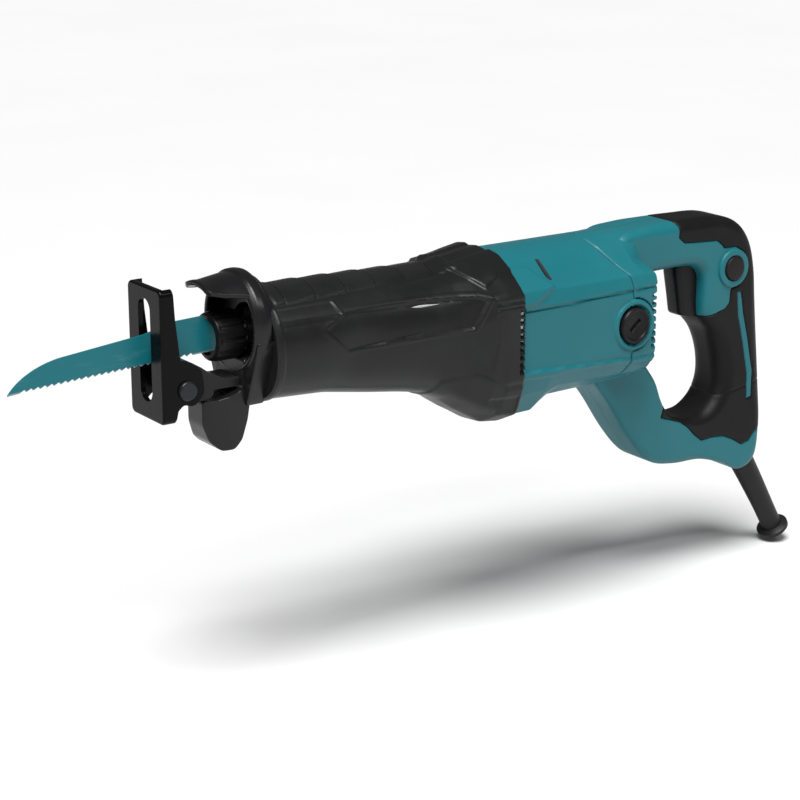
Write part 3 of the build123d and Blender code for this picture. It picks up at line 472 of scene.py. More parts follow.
def coverSurface():
    # radius by angle and place along X from the drawn stations, softened, then ribs, panels, steps and
    # vents added
    c = cover
    x = np.linspace(c["from"], c["to"], c["rows"])[:, None]
    theta = np.linspace(-pi, pi, c["around"], endpoint=False)[None, :]
    x, theta = np.broadcast_arrays(x, theta)
    radius = sectionRadius(c["stations"], x, theta, c["centreZ"])
    rounder = blur(blur(radius, 9.0, 1, True), 5.0, 0)
    crisp = blur(blur(radius, 1.3, 1, True), 1.2, 0)
    hard = smooth(x, 172, 196)
    radius = rounder * (1 - hard) + crisp * hard
    y, z = -radius * np.sin(theta), c["centreZ"] + radius * np.cos(theta)
    side = np.abs(y)
    # shingled ribs across the top, each rising to its rear end
    shoulder = 19.0 + 0.025 * (x - 62) - 0.10 * np.abs(side - 29)
    top = smooth(z, shoulder - 0.7, shoulder + 0.7) * band(x, 70, 197, 2.0)
    along = (x + c["ribSlant"] * (side - 22) - c["ribStart"]) / c["ribPitch"]
    step = along - np.floor(along)
    rise = step * smooth(step, 0.0, 0.06) - 0.9 * band(step, 0.0, 0.035, 0.03)
    radius = radius + top * (0.55 + c["ribHigh"] * (rise - 0.5))
    # a fine crease under the shoulder
    radius = radius - 0.55 * band(z, shoulder - 1.5, shoulder - 0.9, 0.5) * band(x, 72, 188, 4.0)
    # long side panel set into each side, with raised lips
    inside = polygonDistance(x, z, c["panel"])
    onSide = side > 24
    fade = 0.25 + 0.75 * smooth(x, 108, 150)
    radius = radius - c["panelDeep"] * fade * smooth(inside, -0.5, 0.9) * onSide
    radius = radius + 0.5 * fade * band(inside, -2.2, -0.9, 0.8) * onSide
    # scooped waist behind the front of the side
    scoop = np.exp(-((x - 118) / 16) ** 2 - ((z + 16) / 15) ** 2)
    radius = radius - 1.6 * scoop * onSide
    # framed label pad, left blank
    frameLine = polygonDistance(x, z, c["label"])
    radius = radius + 0.45 * band(frameLine, -0.4, 0.4, 0.5) * onSide
    radius = radius - 0.35 * smooth(frameLine, 0.6, 1.4) * onSide
    # wedge and raised collar at the rear: each steps out behind its own edge line
    inWedge = polygonDistance(x, z, c["wedge"])
    radius = radius + 1.5 * smooth(inWedge, -0.4, 1.3) * smooth(side, 9, 12)
    for edge, high in ((7.0, 0.7), (3.2, 0.7), (-0.4, 0.8)):
        lower = band(z, edge - 2.2, edge, 0.5) * smooth(x, 206, 208.5)
        radius = radius + high * lower * onSide
    inCollar = polygonDistance(x, z, c["collar"])
    radius = radius + 0.7 * smooth(inCollar, -0.4, 0.8) * onSide
    inBelly = polygonDistance(x, z, c["belly"])
    radius = radius + 0.9 * smooth(inBelly, -0.4, 1.0) * smooth(x, 150, 176)
    inLowerPad = polygonDistance(x, z, c["lowerPad"])
    radius = radius - 0.9 * smooth(inLowerPad, -0.2, 0.8) * onSide
    # bead round the front edge, small roll at the rear edge
    radius = radius + 0.9 * band(x, 62, 66.5, 1.2) - 1.2 * (1 - smooth(x, 62.3, 63.6))
    radius = radius - 1.0 * smooth(x, 226.6, 228.0)
    # square vents at the joint
    radius = radius - 4.5 * ventRow(z, onSide) * smooth(x, 223.6, 224.1)
    outer = ringPoints(x, radius, theta, c["centreZ"])
    keep = slice(0, None, 24)
    innerX = x[::-1][keep]
    innerRadius = (sectionRadius(c["stations"], innerX, theta[::-1][keep], c["centreZ"]) - c["wall"] - 3.0)
    # front wall: a mouth round the clamp collar above and the shoe bar below
    turn = theta[::-1][keep]
    across = np.maximum(c["collarRoom"] ** 2 - (c["centreZ"] * np.sin(turn)) ** 2, 0)
    mouth = np.maximum(c["barRoom"], -c["centreZ"] * np.cos(turn) + np.sqrt(across))
    innerRadius = np.where(innerX < c["from"] + 2, mouth, innerRadius)
    inner = ringPoints(innerX, innerRadius, theta[::-1][keep], c["centreZ"])
    shell = gridMesh("front_cover_skin", "cover_rubber", np.vstack([outer, inner]), True, True)
    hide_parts("front_cover")
    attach(shell, "housing")


coverSurface()
print("rubber cover made")


motor = {
    "from": 227.6, "wall": 2.6, "centreZ": -22.0, "rows": 210, "around": 330,
    "arrow": [(215, 60), (215, -2.5), (238, -1.5), (255, 7.5), (240, 24), (232, 60)],
    "seamX": 316.5, "brush": (317.0, -25.0), "bossRadius": 17.0,
    "stations": [
        (227, [(0, 27), (10, 25.9), (21, 22), (31, 13.5), (43.5, 8),
              (46, -2), (46, -44), (40, -59), (24, -75), (0, -76)]),
        (251, [(0, 27), (10, 25.9), (20, 22), (31.5, 12.5), (43.5, 7.8),
              (46, -3), (46, -44), (40, -58), (24, -74.5), (0, -76)]),
        (264, [(0, 27), (10, 25.9), (20, 22), (32, 12), (43.5, 7.5),
              (46, -3), (46, -44), (38, -56), (22, -67), (0, -68)]),
        (318, [(0, 27), (10, 25.9), (20, 22), (32.5, 11.5), (43, 6.8),
              (45.5, -4), (45.5, -45), (37, -58), (21, -66.5), (0, -67.5)]),
        (345, [(0, 27), (10, 25.9), (20, 22), (32.5, 11.5), (43, 6.8),
              (45.5, -4), (45.5, -45), (37, -58), (21, -66.5), (0, -67.5)]),
    ],
}


def seamLine(z):
    # the joint with the handle halves sweeps forward at the top and at the bottom
    top = 15.0 * smooth(z, -6, 32) ** 1.3
    bottom = 22.0 * smooth(-z, 50, 72) ** 1.4
    return motor["seamX"] - top - bottom


def sidePanel(x, z, radius, onSide):
    # side panel set in between a crease above and a lip below, which part slowly towards the rear
    top, low = -4.2 + 0.018 * (x - 228), -41.5 - 0.055 * (x - 228)
    radius = radius - 1.3 * band(z, low, top, 0.7) * onSide
    radius = radius - 0.9 * band(z, top - 0.3, top + 0.6, 0.6) * onSide
    return radius + 0.5 * band(z, low - 4.4, low - 1.0, 0.7) * onSide


def motorRadius(x, theta):
    m = motor
    radius = sectionRadius(m["stations"], x, theta, m["centreZ"])
    radius = blur(radius, 1.2, 1, True)
    z = m["centreZ"] + radius * np.cos(theta)
    side = np.abs(radius * np.sin(theta))
    onSide = side > 30
    return sidePanel(x, z, radius, onSide), z, side


def boss(x, z, radius, side, centre, reach, flat):
    # a round raised pad that brings the side out to one flat height
    far = np.hypot(x - centre[0], z - centre[1])
    lift = 1 - smooth(far, reach - 0.8, reach + 0.6)
    wanted = flat / np.maximum(side / radius, 0.2)
    return np.where(side > 30, radius * (1 - lift) + wanted * lift, radius)


def motorSurface():
    m = motor
    share = np.linspace(0, 1, m["rows"])[:, None]
    theta = np.linspace(-pi, pi, m["around"], endpoint=False)[None, :]
    share, theta = np.broadcast_arrays(share, theta)
    x = m["from"] + share * (m["seamX"] - m["from"])
    rough = sectionRadius(m["stations"], x, theta, m["centreZ"])
    zEnd = m["centreZ"] + rough * np.cos(theta)
    end = blur(seamLine(zEnd), 2.0, 1, True)
    # the round brush boss belongs to this part, so its rear edge runs round the boss
    bossHalf = np.sqrt(np.maximum(m["bossRadius"] ** 2 - (zEnd - m["brush"][1]) ** 2, 0))
    bulge = np.where((np.abs(zEnd - m["brush"][1]) < m["bossRadius"]) & (np.abs(rough * np.sin(theta)) > 30),
                     m["brush"][0] + bossHalf, 0)
    end = np.maximum(end, bulge)
    x = m["from"] + share * (end - m["from"])
    radius, z, side = motorRadius(x, theta)
    # raised arrow-shaped pad behind the cover on each upper side
    inArrow = polygonDistance(x, z, m["arrow"])
    radius = radius + 2.1 * smooth(inArrow, -0.3, 2.4) * smooth(side, 24, 27) * (side > 20)
    radius = boss(x, z, radius, side, m["brush"], m["bossRadius"] - 0.9, 47.2)
    far = np.hypot(x - m["brush"][0], z - m["brush"][1])
    radius = radius - 1.6 * (1 - smooth(far, 12.6, 13.4)) * (side > 30)
    radius = radius - 8.0 * (1 - smooth(far, 11.6, 12.0)) * (side > 30)
    # vents behind the cover's edge
    radius = radius - 3.5 * ventRow(z, side > 30) * (1 - smooth(x, 229.6, 230.1))
    # seam edge rolled in a little
    radius = radius - 0.8 * smooth(share, 0.985, 1.0)
    outer = ringPoints(x, radius, theta, m["centreZ"])
    back = slice(None, None, -30)
    innerRadius = sectionRadius(m["stations"], x[back], theta[back], m["centreZ"]) - m["wall"] - 2.5
    inner = ringPoints(x[back], innerRadius, theta[back], m["centreZ"])
    shell = gridMesh("motor_tube", "housing_teal", np.vstack([outer, inner]), True, True)
    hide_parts("motor_housing")
    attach(shell, "housing")


motorSurface()
print("motor housing made")


button = {
    "x": 426.0, "z": -8.0, "radius": 8.0, "root": -12.8, "face": -20.2,
    "bossBore": 8.3, "bossReach": 12.6, "bossIn": -13.0, "bossOut": -18.9,
}


def buttonBoss():
    # the raised ring round the lock-on button, on the left half
    b = button
    profile = [(b["bossIn"], b["bossBore"]), (b["bossIn"], b["bossReach"] + 1.2),
        (b["bossOut"], b["bossReach"]),
               (b["bossOut"], b["bossBore"]), (b["bossIn"], b["bossBore"])]
    rounded = roundedProfile(profile, 0.9)[:-1]
    return lathe("boss", "housing_teal", rounded, (b["x"], 0, b["z"]), "y", 96)


def lockButton():
    b = button
    profile = [(b["root"], 0), (b["root"], b["radius"]), (b["face"], b["radius"]), (b["face"] - 0.3, 0)]
    piece = lathe("lock_button_cap", "button_black", roundedProfile(profile, 1.3), (b["x"], 0, b["z"]),
        "y", 80)
    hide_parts("lock_button")
    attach(piece, "lock_button")


handle = {
    "steps": 960, "capRows": 90, "capAround": 164,
    "ventFrom": -8.0, "ventPitch": 4.9, "ventCount": 8,
    # pairs round the D: outer x, z, inner x, z, half width, corner radius of the section
    "ring": [
        (318, 4, 338, -14, 20, 4.5), (326, 23.5, 343, -3, 20, 5),
        (345, 27.8, 354, -2.5, 19, 6.5), (368, 28.6, 366, -2.6, 18, 7.5),
        (392, 28.4, 382, -2.8, 17.4, 8), (416, 27.2, 395, -4, 17.2, 8),
        (433, 20.8, 401.5, -10, 17.2, 8), (443.5, 8, 402.5, -20, 17.2, 8),
        (448.7, -10, 402.5, -31, 17.2, 8), (451.7, -30, 404.5, -41, 17, 9),
        (455.6, -52, 413, -52, 16.6, 11), (458.8, -74, 419, -68, 16.4, 12),
        (460.8, -98, 421, -84, 16.6, 11.5), (461.2, -122, 417.5, -97, 17, 9.5),
        (457.5, -145, 408, -105.5, 17.2, 8), (444, -152.5, 398, -107.5, 17.2, 7.5),
        (428, -145, 389, -106.5, 17.2, 7), (406, -138, 379.5, -103, 17.4, 6.5),
        (382, -136.5, 371.5, -96, 17.8, 6), (361, -131, 366.2, -86, 18.2, 6),
        (343, -112.5, 362, -75, 18.6, 6), (324, -85, 354, -64, 19, 6),
        (308, -64, 344, -52, 19.4, 5), (307, -44, 338, -42, 20, 4.5),
        (314, -20, 337, -28, 20, 4.5),
    ],
    # points along one half section: outer flat, corner, side flat, corner, inner flat
    "sectionCounts": (7, 8, 37, 8, 7),
    "gripPatch": [
        (363.5, 45), (374, 30), (377.5, 25), (377, 18), (382, 14), (394, 13), (411, 12), (415, 9),
        (418, 6), (428, 6), (434, 2.5), (437.5, -4), (436, -15), (431, -21), (425, -22), (424.5, -31),
        (421, -35), (407, -38.5), (396, -40), (380, -60), (366, -101), (375, -104), (384, -107),
        (391, -112), (398, -119), (404, -123.5), (413, -123), (424, -124), (433, -128), (441, -133),
        (448, -131.5), (453, -126), (490, -112), (490, 45),
    ],
    "stripe": [
        (431.5, -25), (434.5, -25), (438, -41), (443.5, -60), (448.5, -82), (448.5, -100),
        (444.5, -101), (444, -83), (439, -61), (433.5, -42),
    ],
    "skinStep": 1.3,
}


def ringSurface():
    # closed curve through the pairs (Catmull-Rom), each pair spanned by half of a rounded rectangle that
    # bulges to +Y
    keys = np.array(handle["ring"], float)
    count = len(keys)
    place = np.linspace(0, count, handle["steps"], endpoint=False)
    first = np.floor(place).astype(int)
    t = (place - first)[:, None]
    a, b, c, d = (keys[(first + k) % count] for k in (-1, 0, 1, 2))
    curve = 0.5 * (2 * b + (c - a) * t + (2 * a - 5 * b + 4 * c - d) * t ** 2 + (3 * b - a - 3 * c + d)
        * t ** 3)
    curve = blur(curve, 4.5, 0, True)
    outer, inner, wide, corner = curve[:, 0:2], curve[:, 2:4], curve[:, 4:5], curve[:, 5:6]
    middle, reach = (outer + inner) / 2, (outer - inner) / 2
    deep = np.hypot(reach[:, 0:1], reach[:, 1:2])
    n1, n2, n3, n4, n5 = handle["sectionCounts"]
    flat1, flat3 = np.linspace(0, 1, n1, endpoint=False), np.linspace(0, 1, n3, endpoint=False)
    turn = np.linspace(0, pi / 2, n2, endpoint=False)
    last = np.linspace(0, 1, n5)
    out = np.hstack([
        deep + 0 * flat1, deep - corner * (1 - np.cos(turn)), (deep - corner) * (1 - 2 * flat3),
        -(deep - corner) - corner * np.sin(turn), -deep + 0 * last])
    y = np.hstack([
        (wide - corner) * flat1, wide - corner * (1 - np.sin(turn)), wide + 0 * flat3,
        wide - corner * (1 - np.cos(turn)), (wide - corner) * (1 - last)])
    flat = middle[:, None, :] + (reach / deep)[:, None, :] * out[..., None]
    return np.stack([flat[..., 0], y, flat[..., 1]], -1)


def gridNormals(points):
    # Unit normals of the half ring, from its central differences; they point away from the section's middle.
    along = np.roll(points, -1, 0) - np.roll(points, 1, 0)
    across = np.gradient(points, axis=1)
    normal = np.cross(along, across)
    normal = normal / np.maximum(np.linalg.norm(normal, axis=-1, keepdims=True), 1e-9)
    return normal if np.mean(normal[:, points.shape[1] // 2, 1]) > 0 else -normal


def capPoints():
    # the rear cap of the motor: the housing's own section, narrowed to the arm above, closed by a ribbed
    # rear face
    m, h = motor, handle
    theta = np.linspace(0, -pi, h["capAround"])[None, :]
    share = np.linspace(0, 1, h["capRows"])[:, None]
    share, theta = np.broadcast_arrays(share, theta)
    start = sectionRadius(m["stations"], 320 + 0 * theta, theta, m["centreZ"])
    zEdge = m["centreZ"] + start * np.cos(theta)
    begin = blur(seamLine(zEdge), 2.0, 1) + 0.35
    x = begin + share * (338.4 - begin)
    stations = [
        (290, m["stations"][3][1]), (314, m["stations"][3][1]),
        (326, [(0, 27.5), (10, 26.5), (19, 22.5), (31.5, 11.5), (42.5, 6.5),
              (45.3, -4), (45.3, -46), (37, -58), (21, -66.5), (0, -67.5)]),
        (336.5, [(0, 28), (10, 27), (18, 23), (25, 10.5), (41.5, 5),
              (44, -4), (44, -46), (36, -57), (20, -66), (0, -67)]),
        (339, [(0, 27), (9, 26), (16, 22), (23, 9.5), (39, 3.5),
              (41.5, -5), (41.5, -45), (34, -55), (19, -64.5), (0, -65.5)]),
    ]
    radius = blur(sectionRadius(stations, x, theta, m["centreZ"]), 1.2, 1)
    z = m["centreZ"] + radius * np.cos(theta)
    side_ = np.abs(radius * np.sin(theta))
    onSide = side_ > 30
    radius = sidePanel(x, z, radius, onSide)
    # sunk under the brush boss, which stands on the motor part
    far = np.hypot(x - m["brush"][0], z - m["brush"][1])
    radius = radius - 3.0 * (1 - smooth(far, m["bossRadius"] + 0.3, m["bossRadius"] + 0.8)) * onSide
    # ribs between the rear vents cut through the edge
    wave = (z - h["ventFrom"]) / h["ventPitch"]
    gap = np.abs(wave - np.round(wave)) * h["ventPitch"]
    inVents = band(z, h["ventFrom"] - h["ventPitch"] * (h["ventCount"] - 0.5), h["ventFrom"] + 1.5, 0.2)
    slot = (1 - smooth(gap, 0.9, 1.4)) * inVents * smooth(x, 332.6, 333.4) * onSide
    radius = radius - 3.2 * slot
    radius = radius - 0.8 * (1 - smooth(share, 0.0, 0.03))
    shell = ringPoints(x, radius, theta, m["centreZ"])
    # rear face drawn in to a pole, with the slots carried across it
    lastRadius, lastTheta = radius[-1], theta[-1]
    drawn = np.array([0.985, 0.93, 0.8, 0.65, 0.5, 0.35, 0.2, 0.0])[:, None]
    faceX = 338.4 + np.array([0.5, 0.6, 0.6, 0.6, 0.6, 0.6, 0.6, 0.6])[:, None] + 0 * lastTheta[None, :]
    face = ringPoints(faceX, drawn * lastRadius[None, :], lastTheta[None, :] + 0 * drawn, m["centreZ"])
    drawn = drawn[::-1]
    frontX = np.broadcast_to(begin[0], (len(drawn), theta.shape[1]))
    front = ringPoints(frontX, drawn * (radius[0] - 1)[None, :], lastTheta[None, :] + 0 * drawn, m["centreZ"])
    return np.vstack([front, shell, face])


def halfOf(points, side):
    # one half, mirrored to its side; its two edges lie on the middle plane, a gap short of it
    out = points.copy()
    out[..., 1] = side * np.maximum(out[..., 1], 0.12)
    return out


def gripSkin(black, rubber):
    # the black skin: both halves of the rows that reach the patch, in one closed tube with its ends drawn
    # to a point
    near = np.any(rubber > -3, 1)
    start = int(np.argmax(near & ~np.roll(near, 1)))
    rows = (start + np.arange(int(near.sum()))) % len(near)
    half = black[rows]
    mirrored = half[:, ::-1][:, 1:-1] * np.array([1.0, -1.0, 1.0])
    tube = np.concatenate([half, mirrored], 1)
    ends = [np.broadcast_to(tube[k].mean(0), tube[k].shape)[None] for k in (0, -1)]
    skin = gridMesh("grip_rubber_skin", "grip_rubber", np.concatenate([ends[0], tube, ends[1]]), False, True)
    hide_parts("grip_overmold")
    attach(skin, "housing")


def handleSurfaces():
    ring = ringSurface()
    normal = gridNormals(ring)
    x, z = ring[..., 0], ring[..., 2]
    rubber = polygonDistance(x, z, handle["gripPatch"])
    stripe = polygonDistance(x, z, handle["stripe"])
    rubber = np.where(stripe > -2, np.minimum(rubber, -stripe), rubber)
    stepDown = handle["skinStep"]
    teal = ring - normal * (stepDown * smooth(rubber, -0.6, 0.7))[..., None]
    black = ring + normal * (0.2 - (stepDown + 0.35) * (1 - smooth(rubber, -0.5, 0.8)))[..., None]
    seam = np.abs((z + 92) - 0.16 * (x - 440))
    black = black - normal * (0.35 * (1 - smooth(seam, 0.3, 0.8)) * (x > 416))[..., None]
    gripSkin(black, rubber)
    cap = capPoints()
    for side, name, node in ((-1, "handle_shell_left", "handle_left"),
        (1, "handle_shell_right", "handle_right")):
        pieces = [
            gridMesh("arm", "housing_teal", halfOf(teal, side), True, True),
            gridMesh("cap", "housing_teal", halfOf(cap, side), False, True),
        ]
        if side < 0:
            pieces.append(buttonBoss())
        shell = joined(name, "housing_teal", pieces)
        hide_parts(node)
        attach(shell, "housing")


handleSurfaces()
print("handle made")


nose = {
    "centreZ": 6.0, "bore": 25.5, "barTop": -23.0, "barHalf": 11.5,
    "ring": [(66, 25.5), (51.8, 25.5), (51.0, 26.4), (51.0, 27.9), (51.8, 28.9), (54.6, 31.0), (58.0, 31.2),
             (61.0, 30.6), (63.2, 27.6), (66, 26.6), (66, 25.5)],
    "hoodX": (29.5, 57.0), "hoodRadius": (25.6, 28.2), "hoodWall": 3.0,
    # half angle of the hood over x, in degrees
    "hoodSpan": [(29.5, 22), (30.5, 29), (32, 33), (39, 41), (46, 45), (52, 49), (57, 50)],
    "lobe": [
        (27.5, -34.5), (27.5, -49), (31, -59), (37, -64.5), (45, -65), (50, -60), (54, -48), (57, -30),
        (62, -12), (52, -12), (50, -30), (36, -34.5),
    ],
    "lobeHalf": 14.5, "lobeFront": 8.5, "lobeSlope": 2.4,
    # one cheek between the ring and the lobe, as (y, z), and its front and rear x
    "cheek": [
        (30.4, 0), (28.6, -8), (17.6, -36), (15.4, -40), (11.6, -40), (11.6, -16.8), (15, -14.6),
        (18, -12), (21, -8.4), (23.5, -4), (25, 0),
    ],
    "cheekX": (52.0, 64.0),
}


def resampled(corners, count, soft):
    # even points round a closed polygon, its corners softened
    ring = np.array(corners + corners[:1], float)
    run = np.concatenate([[0], np.cumsum(np.hypot(*np.diff(ring, axis=0).T))])
    spots = np.linspace(0, run[-1], count, endpoint=False)
    even = np.stack([np.interp(spots, run, ring[:, k]) for k in (0, 1)], -1)
    return blur(even, soft, 0, True)


def withEnds(points):
    # a tube of loops, with one more loop at each end drawn in to a point
    ends = [np.broadcast_to(points[k].mean(0), points[k].shape)[None] for k in (0, -1)]
    return np.concatenate([ends[0], points, ends[1]])


def noseRing():
    # a turned ring, flattened underneath where the shoe bar passes
    ring = lathe("ring", "nose_black", roundedProfile(nose["ring"], 0.8)[:-1], (0, 0, nose["centreZ"]),
        "x", 160)
    spots = np.empty(len(ring.data.vertices) * 3)
    ring.data.vertices.foreach_get("co", spots)
    spots = spots.reshape(-1, 3)
    under = np.abs(spots[:, 1]) < nose["barHalf"] * mm
    spots[:, 2] = np.where(under, np.maximum(spots[:, 2], nose["barTop"] * mm), spots[:, 2])
    ring.data.vertices.foreach_set("co", spots.ravel())
    return ring


def noseHood():
    # each x has a closed loop: an outer arc of half angle A(x) and back along an inner one, thickness t =
    # wall * sqrt(1 - e^2)
    n = nose
    start, end = n["hoodX"]
    share = np.linspace(0, 1, 70)[:, None]
    x = start + (end - start) * share ** 1.3
    span = np.radians(np.interp(x, *np.array(n["hoodSpan"], float).T))
    middle = n["hoodRadius"][0] + (n["hoodRadius"][1] - n["hoodRadius"][0]) * smooth(x, start, end)
    lip = np.sqrt(np.clip(1 - (1 - np.clip((x - start) / 1.6, 0, 1)) ** 2, 0, 1))
    across = np.linspace(-1, 1, 100)[None, :]
    edge = np.sqrt(np.clip(1 - np.clip((np.abs(across) - 0.93) / 0.07, 0, 1) ** 2, 0, 1))
    half = 0.5 * n["hoodWall"] * lip * edge
    bead = 0.35 * band(x, start, start + 3.0, 0.8)
    outerR, innerR = middle + half + bead * edge, middle - half
    radius = np.hstack([outerR + 0 * across, (innerR + 0 * across)[:, ::-1]])
    angle = np.hstack([span * across, (span * across)[:, ::-1]])
    points = np.stack([x + 0 * angle, radius * np.sin(angle), n["centreZ"] + radius * np.cos(angle)], -1)
    return gridMesh("hood", "nose_black", withEnds(points), False, True)


def noseLobe():
    # slices over Y: the side outline, cut back at the front where the flanks flare, drawn in at both
    # rounded ends
    n = nose
    outline = resampled(n["lobe"], 260, 2.2)
    half = n["lobeHalf"]
    y = half * np.sin(np.linspace(-pi / 2, pi / 2, 90))[:, None]
    front = outline[:, 0].min() + n["lobeSlope"] * np.maximum(np.abs(y) - n["lobeFront"], 0)
    x = np.maximum(outline[None, :, 0], front)
    z = outline[None, :, 1] + 0 * y
    x = blur(blur(x, 1.0, 1, True), 0.8, 0)
    centre = np.array([47.0, -42.0])
    roll = np.clip((np.abs(y) - half + 2.5) / 2.5, 0, 1)
    draw = 1 - 0.07 * (1 - np.sqrt(1 - roll ** 2))
    x, z = centre[0] + (x - centre[0]) * draw, centre[1] + (z - centre[1]) * draw
    points = np.stack([x, y + 0 * x, z], -1)
    return gridMesh("lobe", "nose_black", withEnds(points), False, True)


def noseCheek(side):
    # the cheek's outline carried along X, its two end edges rounded by drawing the outline in
    outline = resampled(nose["cheek"], 120, 1.5)
    middle = outline.mean(0)
    share = np.linspace(0, 1, 24)[:, None]
    x = nose["cheekX"][0] + (nose["cheekX"][1] - nose["cheekX"][0]) * share
    draw = 1 - 0.10 * (1 - np.sqrt(1 - np.clip((np.abs(share - 0.5) - 0.38) / 0.12, 0, 1) ** 2))
    y, z = middle[0] + (outline[:, 0] - middle[0]) * draw, middle[1] + (outline[:, 1] - middle[1]) * draw
    return gridMesh("cheek", "nose_black", withEnds(np.stack([x + 0 * y, side * y, z], -1)), False, True)


def noseGuard():
    pieces = [noseRing(), noseHood(), noseLobe(), noseCheek(-1), noseCheek(1)]
    guard = joined("nose_guard_body", "nose_black", pieces)
    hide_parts("nose_guard")
    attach(guard, "housing")


collar = {
    "flutes": 12, "depth": 0.9, "profile": [
        (57.0, 8.05), (57.0, 12.4), (55.6, 13.6), (53.6, 13.6), (53.0, 14.4), (40.0, 14.5), (37.2, 13.9),
            (36.1, 12.6),
        (36.0, 10.4), (38.4, 10.4), (38.6, 8.05), (57.0, 8.05)],
}


def clampCollar():
    # a turned collar whose outer surface is cut by even finger flutes
    c = collar
    profile = np.array(roundedProfile(c["profile"], 0.5)[:-1])
    steps = []
    for a, b in zip(profile, np.roll(profile, -1, 0)):
        count = max(1, int(np.hypot(*(b - a)) / 0.8))
        steps.append(a + (b - a) * np.linspace(0, 1, count, endpoint=False)[:, None])
    profile = np.vstack(steps)
    angle = np.linspace(0, 2 * pi, 288, endpoint=False)[None, :]
    along, radius = profile[:, 0:1], profile[:, 1:2]
    wave = smooth(np.cos(c["flutes"] * angle), 0.1, 0.8)
    radius = radius - c["depth"] * wave * smooth(radius, 12.8, 13.8) * band(along, 39.0, 54.5, 1.0)
    points = np.stack([along + 0 * angle, radius * np.sin(angle), radius * np.cos(angle)], -1)
    piece = gridMesh("blade_clamp_sleeve", "clamp_black", points, True, True)
    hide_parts("blade_clamp_collar")
    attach(piece, "clamp_collar")


trigger = {
    # front edge as (z, x) from the bottom lip to the top
    "front": [
        (-38.5, 394), (-38.2, 391.5), (-36.5, 389.9), (-33, 389.2), (-26, 388.0), (-18, 386.4),
        (-10, 384.8), (-5, 384.3), (-2.4, 385.4), (-1.2, 388.5),
    ],
    "back": 413.5, "half": 8.0, "corner": 4.6,
}


def triggerPaddle():
    # slices over Z: a rectangle with rounded front corners, from the finger's curve back into the handle
    t = trigger
    z = np.linspace(t["front"][0][0], t["front"][-1][0], 110)[:, None]
    front = blur(np.interp(z, *np.array(t["front"], float).T), 1.2, 0)
    turn = np.linspace(-pi / 2, pi / 2, 28)[None, :]
    corner, half = t["corner"], t["half"]
    x = np.hstack([front + corner * (1 - np.cos(turn)), t["back"] + 0 * front + np.zeros((1, 6))])
    y = np.hstack([(half - corner) * np.sign(turn) + corner * np.sin(turn),
        np.linspace(half, -half, 6)[None, :]])
    points = np.stack([x, y + 0 * x, z + 0 * x], -1)
    piece = gridMesh("trigger_paddle", "trigger_black", withEnds(points), False, True)
    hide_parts("trigger")
    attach(piece, "trigger")


brush = {
    "x": 316.5, "z": -25.0, "radius": 11.4, "root": 41.0, "face": 46.6,
    "slotHalf": 1.1, "slotLong": 4.6, "tilt": 0.7,
}


def brushCap(side, name, node):
    # a turned cap: root, wall and a shallow dished face with a short slot across it
    b = brush
    reach = np.concatenate([[0, 4, 8], [b["radius"]] * 6, np.linspace(b["radius"], 0, 72)[1:]])[:, None]
    out = np.concatenate([[b["root"]] * 3, np.linspace(b["root"], b["face"], 6), [b["face"]] * 71])[:, None]
    angle = np.linspace(0, 2 * pi, 200, endpoint=False)[None, :]
    dx, dz = reach * np.cos(angle), reach * np.sin(angle)
    onFace = np.arange(len(reach))[:, None] > 8
    dish = 0.8 * smooth(reach, 0, 9.8) - 0.8 + 0.9 * smooth(reach, 8.4, 9.4) - 0.9 - 0.8 * smooth(reach,
        10.7, 11.4)
    along = dx * cos(b["tilt"]) + dz * sin(b["tilt"])
    across = dz * cos(b["tilt"]) - dx * sin(b["tilt"])
    slot = (1 - smooth(np.abs(across), b["slotHalf"], b["slotHalf"] + 0.5)) * (1 - smooth(np.abs(along),
        b["slotLong"], b["slotLong"] + 0.6))
    y = out + onFace * (dish + 0.9 - 1.6 * slot)
    points = np.stack([b["x"] + dx, side * y, b["z"] + dz], -1)
    piece = gridMesh(name, "cap_black", points, False, True)
    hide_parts(node)
    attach(piece, "housing")


cord = {
    "route": [(445.5, -132), (462, -157), (478, -182.5), (493.0, -209)], "radius": (8.6, 7.1), "bore": 4.25,
    "lip": 11.2, "lipLong": 3.6,
}


def cordGuard():
    # loops square to a cubic Bezier route: outside tapering to a lip, round its end, and back along the bore
    c = cord
    p0, p1, p2, p3 = (np.array(p, float) for p in c["route"])
    t = np.linspace(0, 1, 120)[:, None]
    spots = (1 - t) ** 3 * p0 + 3 * (1 - t) ** 2 * t * p1 + 3 * (1 - t) * t ** 2 * p2 + t ** 3 * p3
    way = 3 * (1 - t) ** 2 * (p1 - p0) + 6 * (1 - t) * t * (p2 - p1) + 3 * t ** 2 * (p3 - p2)
    way = way / np.hypot(way[:, 0:1], way[:, 1:2])
    left = np.hypot(*(spots[-1] - spots).T)[:, None]
    radius = c["radius"][0] + (c["radius"][1] - c["radius"][0]) * smooth(t, 0.1, 0.9)
    lip = band(left, 0.6, c["lipLong"], 0.6)
    radius = radius + (c["lip"] - c["radius"][1]) * lip
    radius[-1] = c["lip"] - 1.2
    back = slice(None, None, -10)
    spots, way = np.vstack([spots, spots[back]]), np.vstack([way, way[back]])
    radius = np.vstack([radius, c["bore"] + 0 * radius[back]])
    angle = np.linspace(0, 2 * pi, 90, endpoint=False)[None, :]
    x = spots[:, 0:1] - way[:, 1:2] * radius * np.cos(angle)
    z = spots[:, 1:2] + way[:, 0:1] * radius * np.cos(angle)
    piece = gridMesh("cord_sleeve", "cord_rubber", np.stack([x, radius * np.sin(angle), z], -1), True, True)
    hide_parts("cord_guard")
    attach(piece, "housing")


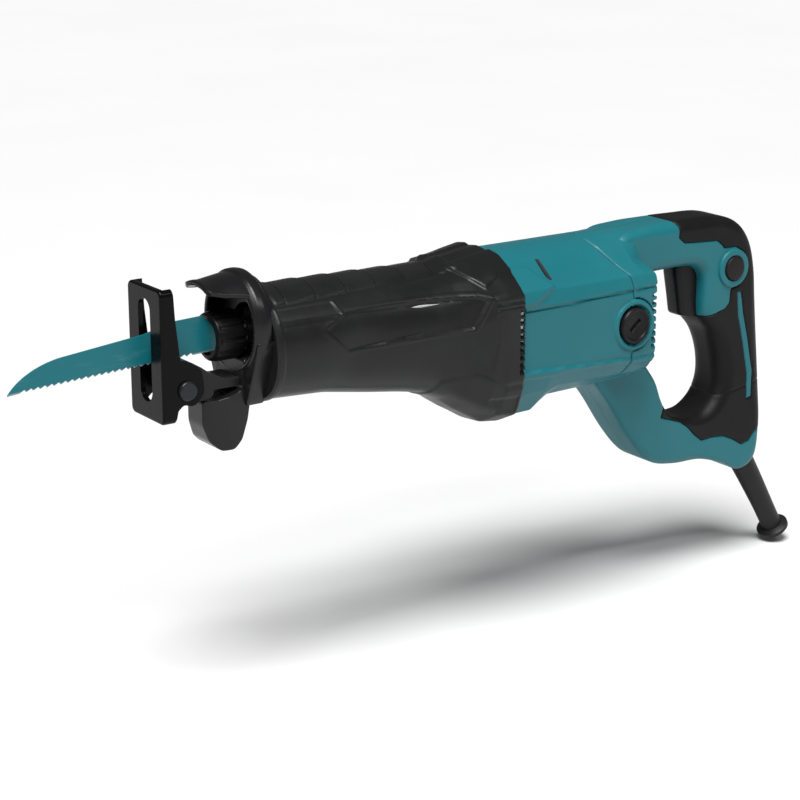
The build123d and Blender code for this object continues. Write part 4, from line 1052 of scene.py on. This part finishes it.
noseGuard()
clampCollar()
triggerPaddle()
lockButton()
brushCap(-1, "brush_cap_face_left", "brush_cap_left")
brushCap(1, "brush_cap_face_right", "brush_cap_right")
cordGuard()
print("nose, collar, trigger, button, caps and cord guard made")


for entry in frame["record"]["subparts"]:
    node = frame["nodes"][entry["node"]]
    finish = finishes[entry["material_slot"]]
    node.data.materials.clear()
    node.data.materials.append(finish)


studio = {
    "floorDrop": 0.003, "floorSize": 30.0, "floorColour": (0.70, 0.70, 0.70),
        "floorDrift": (0.74, 0.74, 0.74),
    "world": 0.13, "backdrop": 0.93, "sun": 4.25, "sunSoft": 28.0, "sunFrom": (-0.30, -0.28, 0.90),
    "lights": [   # name, place, aim, size, power
        ("strip", (0.05, -0.75, 0.85), (0.17, 0, 0), (1.5, 0.12), 6.0),
    ],
}


def dressStudio():
    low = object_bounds()[0]
    size = studio["floorSize"]
    mesh = bpy.data.meshes.new("floor")
    level = low[2] - studio["floorDrop"]
    mesh.from_pydata([(-size, -size, level), (size, -size, level), (size, size, level), (-size, size, level)],
                     [], [(0, 1, 2, 3)])
    shop = Shop("floor")
    mesh.materials.append(shop.finish(
        Base_Color=shop.blend(shop.noise(3.0), studio["floorColour"], studio["floorDrift"]), Roughness=0.9))
    floor = bpy.data.objects.new("floor", mesh)
    bpy.context.scene.collection.objects.link(floor)
    world = bpy.data.worlds.new("studio_world")
    world.use_nodes = True
    tree = world.node_tree
    back = tree.nodes["Background"]
    back.inputs["Color"].default_value = (1, 1, 1, 1)
    seen = tree.nodes.new("ShaderNodeLightPath")   # the backdrop is paler than the light it gives
    strength = tree.nodes.new("ShaderNodeMapRange")
    strength.inputs["To Min"].default_value = studio["world"]
    strength.inputs["To Max"].default_value = studio["backdrop"]
    tree.links.new(seen.outputs["Is Camera Ray"], strength.inputs["Value"])
    tree.links.new(strength.outputs["Result"], back.inputs["Strength"])
    bpy.context.scene.world = world
    sun = bpy.data.lights.new("sun", "SUN")
    sun.energy, sun.angle = studio["sun"], radians(studio["sunSoft"])
    lamp = bpy.data.objects.new("sun", sun)
    bpy.context.scene.collection.objects.link(lamp)
    lamp.rotation_euler = Vector(studio["sunFrom"]).to_track_quat("Z", "Y").to_euler()
    for name, spot, target, size, power in studio["lights"]:
        data = bpy.data.lights.new(name, "AREA")
        data.shape, data.size, data.size_y, data.energy = "RECTANGLE", *size, power
        lamp = bpy.data.objects.new(name, data)
        bpy.context.scene.collection.objects.link(lamp)
        lamp.location = spot
        lamp.rotation_euler = (Vector(target) - Vector(spot)).to_track_quat("-Z", "Y").to_euler()
    bpy.context.scene.view_settings.view_transform = "Standard"


dressStudio()
print("studio set")
